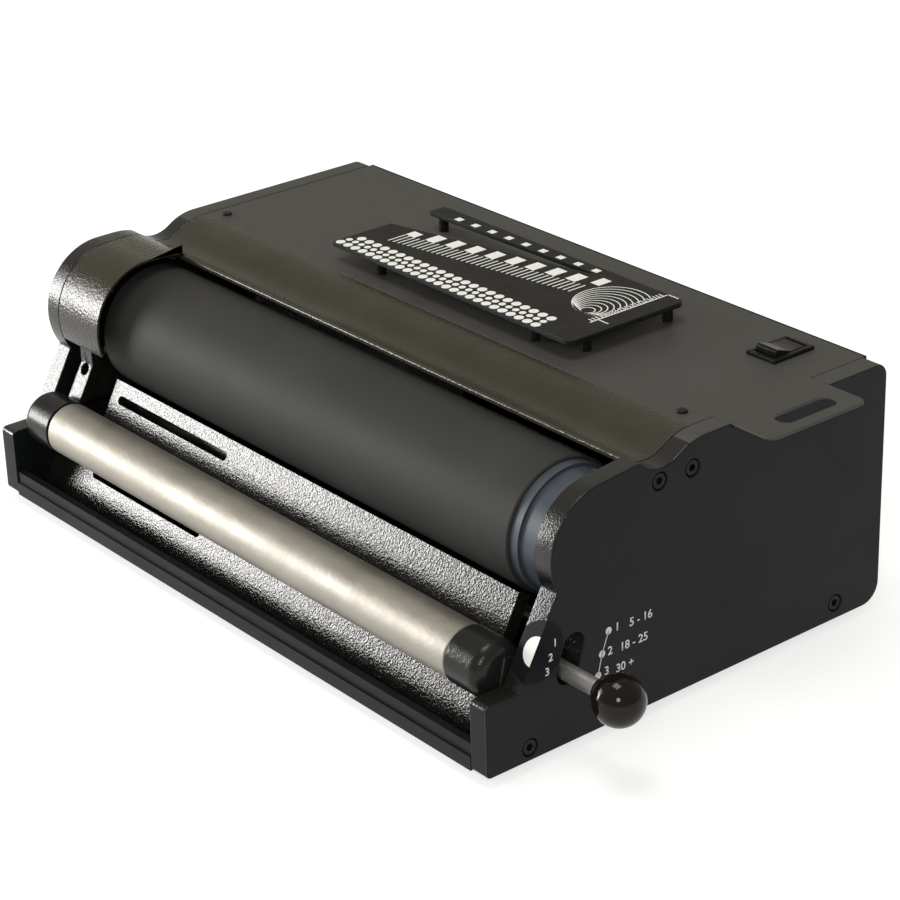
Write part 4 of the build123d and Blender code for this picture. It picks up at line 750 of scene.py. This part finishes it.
scale = []
for y, z in SCALE_DOTS:
    dot = flat_disc(SCALE_DOT)
    stand_up(dot, at(SCALE_X, y, z))
    scale.append(settle(dot, "scale_dot"))
for text, y, z in SCALE_NUMBERS + SCALE_SIZES:
    scale.append(settle(written(text, SCALE_TEXT, at(SCALE_X, y, z)), "scale_number"))
for (y1, z1), (y2, z2) in zip(SCALE_DOTS, SCALE_DOTS[1:]):
    bpy.ops.object.select_all(action="DESELECT")
    bpy.ops.mesh.primitive_plane_add(size=MILLIMETRE)
    stroke = bpy.context.object
    middle = Matrix.Translation(at(SCALE_X, (y1 + y2) / 2, (z1 + z2) / 2))
    lean = Matrix.Rotation(math.atan2(z2 - z1, y2 - y1), 4, "X")
    upright = Matrix.Rotation(math.pi / 2, 4, "Z") @ Matrix.Rotation(math.pi / 2, 4, "X")
    stretch = Matrix.Diagonal((math.hypot(y2 - y1, z2 - z1), SCALE_LINE, 1, 1))
    stroke.matrix_world = middle @ lean @ upright @ stretch
    scale.append(settle(stroke, "scale_line"))
printed(scale, "lever_scale_print", slot="black_satin")

# The round sticker on the lever's side is folded over the plate's corner: a white half disc on the
# slanted edge marks where to pull, and the black half on the face carries the three places.
STICKER_R = 17.0
ROUND_OUTLINE = 72
STICKER_IN = 2.0
STICKER_BACK = 12.2
STICKER_REACH = 40.0
STICKER_T = 0.00012
STICKER_LIFT = 0.00002
MARK_R = 8.0
MARK_BACK = 12.0
MARK_LIFT = 0.00016
PLACE_TEXT = 4.5
PLACE_X = 228.74
PLACE_NUMBERS = (("1", 44.6, 59.6), ("2", 41.6, 52.3), ("3", 39.2, 45.0))
SLOPE = math.radians(61.0)

along_slope = Vector((0, math.cos(SLOPE), math.sin(SLOPE)))
into_face = Vector((0, math.sin(SLOPE), -math.cos(SLOPE)))
outwards = Vector((1, 0, 0))
corner_at = at(228.6, 33.1, 61.0)
vinyl = finish("sticker_vinyl", (0.006, 0.006, 0.009), 0.45, specular=0.08)
mottled(
    vinyl, scale=80.0, dark=(0.005, 0.005, 0.008), light=(0.009, 0.009, 0.013),
    smooth=0.40, rough=0.52,
)


def folded_disc(radius, inwards, back, reach, name, lift):
    """A disc cut at the corner line: the part within `back` of it on the slanted edge, and the
    part within `reach` of it on the face; either may be none."""
    parts = []
    for low, high, over_edge in ((-back, 0.0, True), (0.0, reach, False)):
        if high - low <= 0:
            continue
        piece = flat_disc(radius, ROUND_OUTLINE)
        bpy.ops.object.mode_set(mode="EDIT")
        bpy.ops.mesh.select_all(action="SELECT")
        bpy.ops.transform.translate(value=(inwards / 1000, 0, 0))
        for edge, clear_low in ((low, True), (high, False)):
            bpy.ops.mesh.select_all(action="SELECT")
            bpy.ops.mesh.bisect(
                plane_co=(edge / 1000, 0, 0), plane_no=(1, 0, 0),
                clear_inner=clear_low, clear_outer=not clear_low,
            )
        bpy.ops.object.mode_set(mode="OBJECT")
        if over_edge:
            lies = Matrix((outwards, along_slope, -into_face)).transposed().to_4x4()
            where = corner_at - into_face * lift
        else:
            lies = Matrix((into_face, along_slope, outwards)).transposed().to_4x4()
            where = corner_at + outwards * lift
        piece.matrix_world = Matrix.Translation(where) @ lies
        parts.append(settle(piece, name, STICKER_T))
    return parts


halves = folded_disc(
    STICKER_R, STICKER_IN, STICKER_BACK, STICKER_REACH, "lever_sticker", STICKER_LIFT,
)
bpy.ops.object.select_all(action="DESELECT")
for half in halves:
    half.select_set(True)
bpy.context.view_layer.objects.active = halves[0]
bpy.ops.object.join()
sticker = bpy.context.object
sticker.name = "lever_sticker"
wear(sticker, vinyl)
fasten(sticker, "chassis", "gauge_plastic")

marks = folded_disc(MARK_R, 0.0, MARK_BACK, 0.0, "pull_mark", MARK_LIFT)
for text, y, z in PLACE_NUMBERS:
    marks.append(settle(written(text, PLACE_TEXT, at(PLACE_X, y, z)), "place_number"))
printed(marks, "lever_sticker_print")

# The gauge print is white ink on the black plate: rows of dots for counting holes, a stair of
# blocks and bars that follows the tapered slot, and nested rings cut off at a ruler for the
# coil's size.
GAUGE_TOP = 156.0
DOT_ROWS = (                    # first dot, its radius, how many, and their step
    (-92.75, 162.85, 2.9, 26, 7.0),
    (-92.15, 168.85, 2.1, 31, 5.8),
    (-88.05, 174.85, 2.9, 24, 7.38),
)
BLOCK_ROWS = (                  # middle of the first, width, depth, how many, and their step
    (-72.0, 202.0, 8.0, 7.0, 1, 0.0, 0.0),
    (-57.0, 206.4, 8.0, 10.5, 8, 14.7, 2.72),
    (60.4, 231.0, 7.0, 10.0, 1, 0.0, 0.0),
    (-73.15, 237.6, 5.0, 4.4, 9, 14.85, 0.39),
    (-75.2, 191.2, 0.9, 13.0, 37, 3.7, 0.65),
)
RING_START = (86.4, 192.8)
RING_CUT = 13.0
RING_SIZES = (9.0, 13.0, 17.0, 21.0, 25.0, 29.0, 33.0, 37.0, 41.0, 45.0)
RING_LINE = 0.65
RING_OUTLINE = 64
RULER_ROWS = (                  # the edge, its ticks, and the two long end ticks
    (100.4, 215.4, 0.9, 58.0, 1, 0.0, 0.0),
    (98.2, 189.0, 4.0, 0.7, 23, 0.0, 2.4),
    (104.6, 192.4, 8.0, 0.8, 1, 0.0, 0.0),
    (104.6, 245.2, 8.0, 0.8, 1, 0.0, 0.0),
)


def in_row(piece, count, step_x, step_y=0.0):
    """Repeats a flat print at an even step."""
    row = piece.modifiers.new("row", "ARRAY")
    row.count = count
    row.use_relative_offset = False
    row.use_constant_offset = True
    row.constant_offset_displace = (step_x / 1000, step_y / 1000, 0)
    bpy.context.view_layer.objects.active = piece
    bpy.ops.object.modifier_apply(modifier="row")
    return piece


def block_row(x, y, width, depth, count, step_x, step_y):
    """A row of flat rectangles on the gauge, given by the middle of the first."""
    bpy.ops.object.select_all(action="DESELECT")
    bpy.ops.mesh.primitive_plane_add(size=MILLIMETRE)
    piece = bpy.context.object
    piece.scale = (width, depth, 1)
    piece.location = at(x, y, GAUGE_TOP)
    return in_row(settle(piece, "gauge_block"), count, step_x, step_y)


def cut_ring(size):
    """A thin ring that touches the others at their start and is cut off at the ruler."""
    piece = flat_disc(size / 2, RING_OUTLINE)
    bpy.ops.object.mode_set(mode="EDIT")
    bpy.ops.mesh.select_all(action="SELECT")
    bpy.ops.mesh.inset(thickness=RING_LINE / 1000)
    bpy.ops.mesh.delete(type="FACE")
    bpy.ops.mesh.select_all(action="SELECT")
    bpy.ops.mesh.bisect(plane_co=(RING_CUT / 1000, 0, 0), plane_no=(1, 0, 0), clear_outer=True)
    bpy.ops.object.mode_set(mode="OBJECT")
    piece.location = at(RING_START[0], RING_START[1] + size / 2, GAUGE_TOP)
    return settle(piece, "gauge_ring")


gauge_ink = []
for x, y, radius, count, step in DOT_ROWS:
    dot = flat_disc(radius)
    dot.location = at(x, y, GAUGE_TOP)
    gauge_ink.append(in_row(settle(dot, "gauge_dot"), count, step))
gauge_ink += [block_row(*row) for row in BLOCK_ROWS]
gauge_ink += [cut_ring(size) for size in RING_SIZES]
gauge_ink += [block_row(*row) for row in RULER_ROWS]
printed(gauge_ink, "gauge_print")
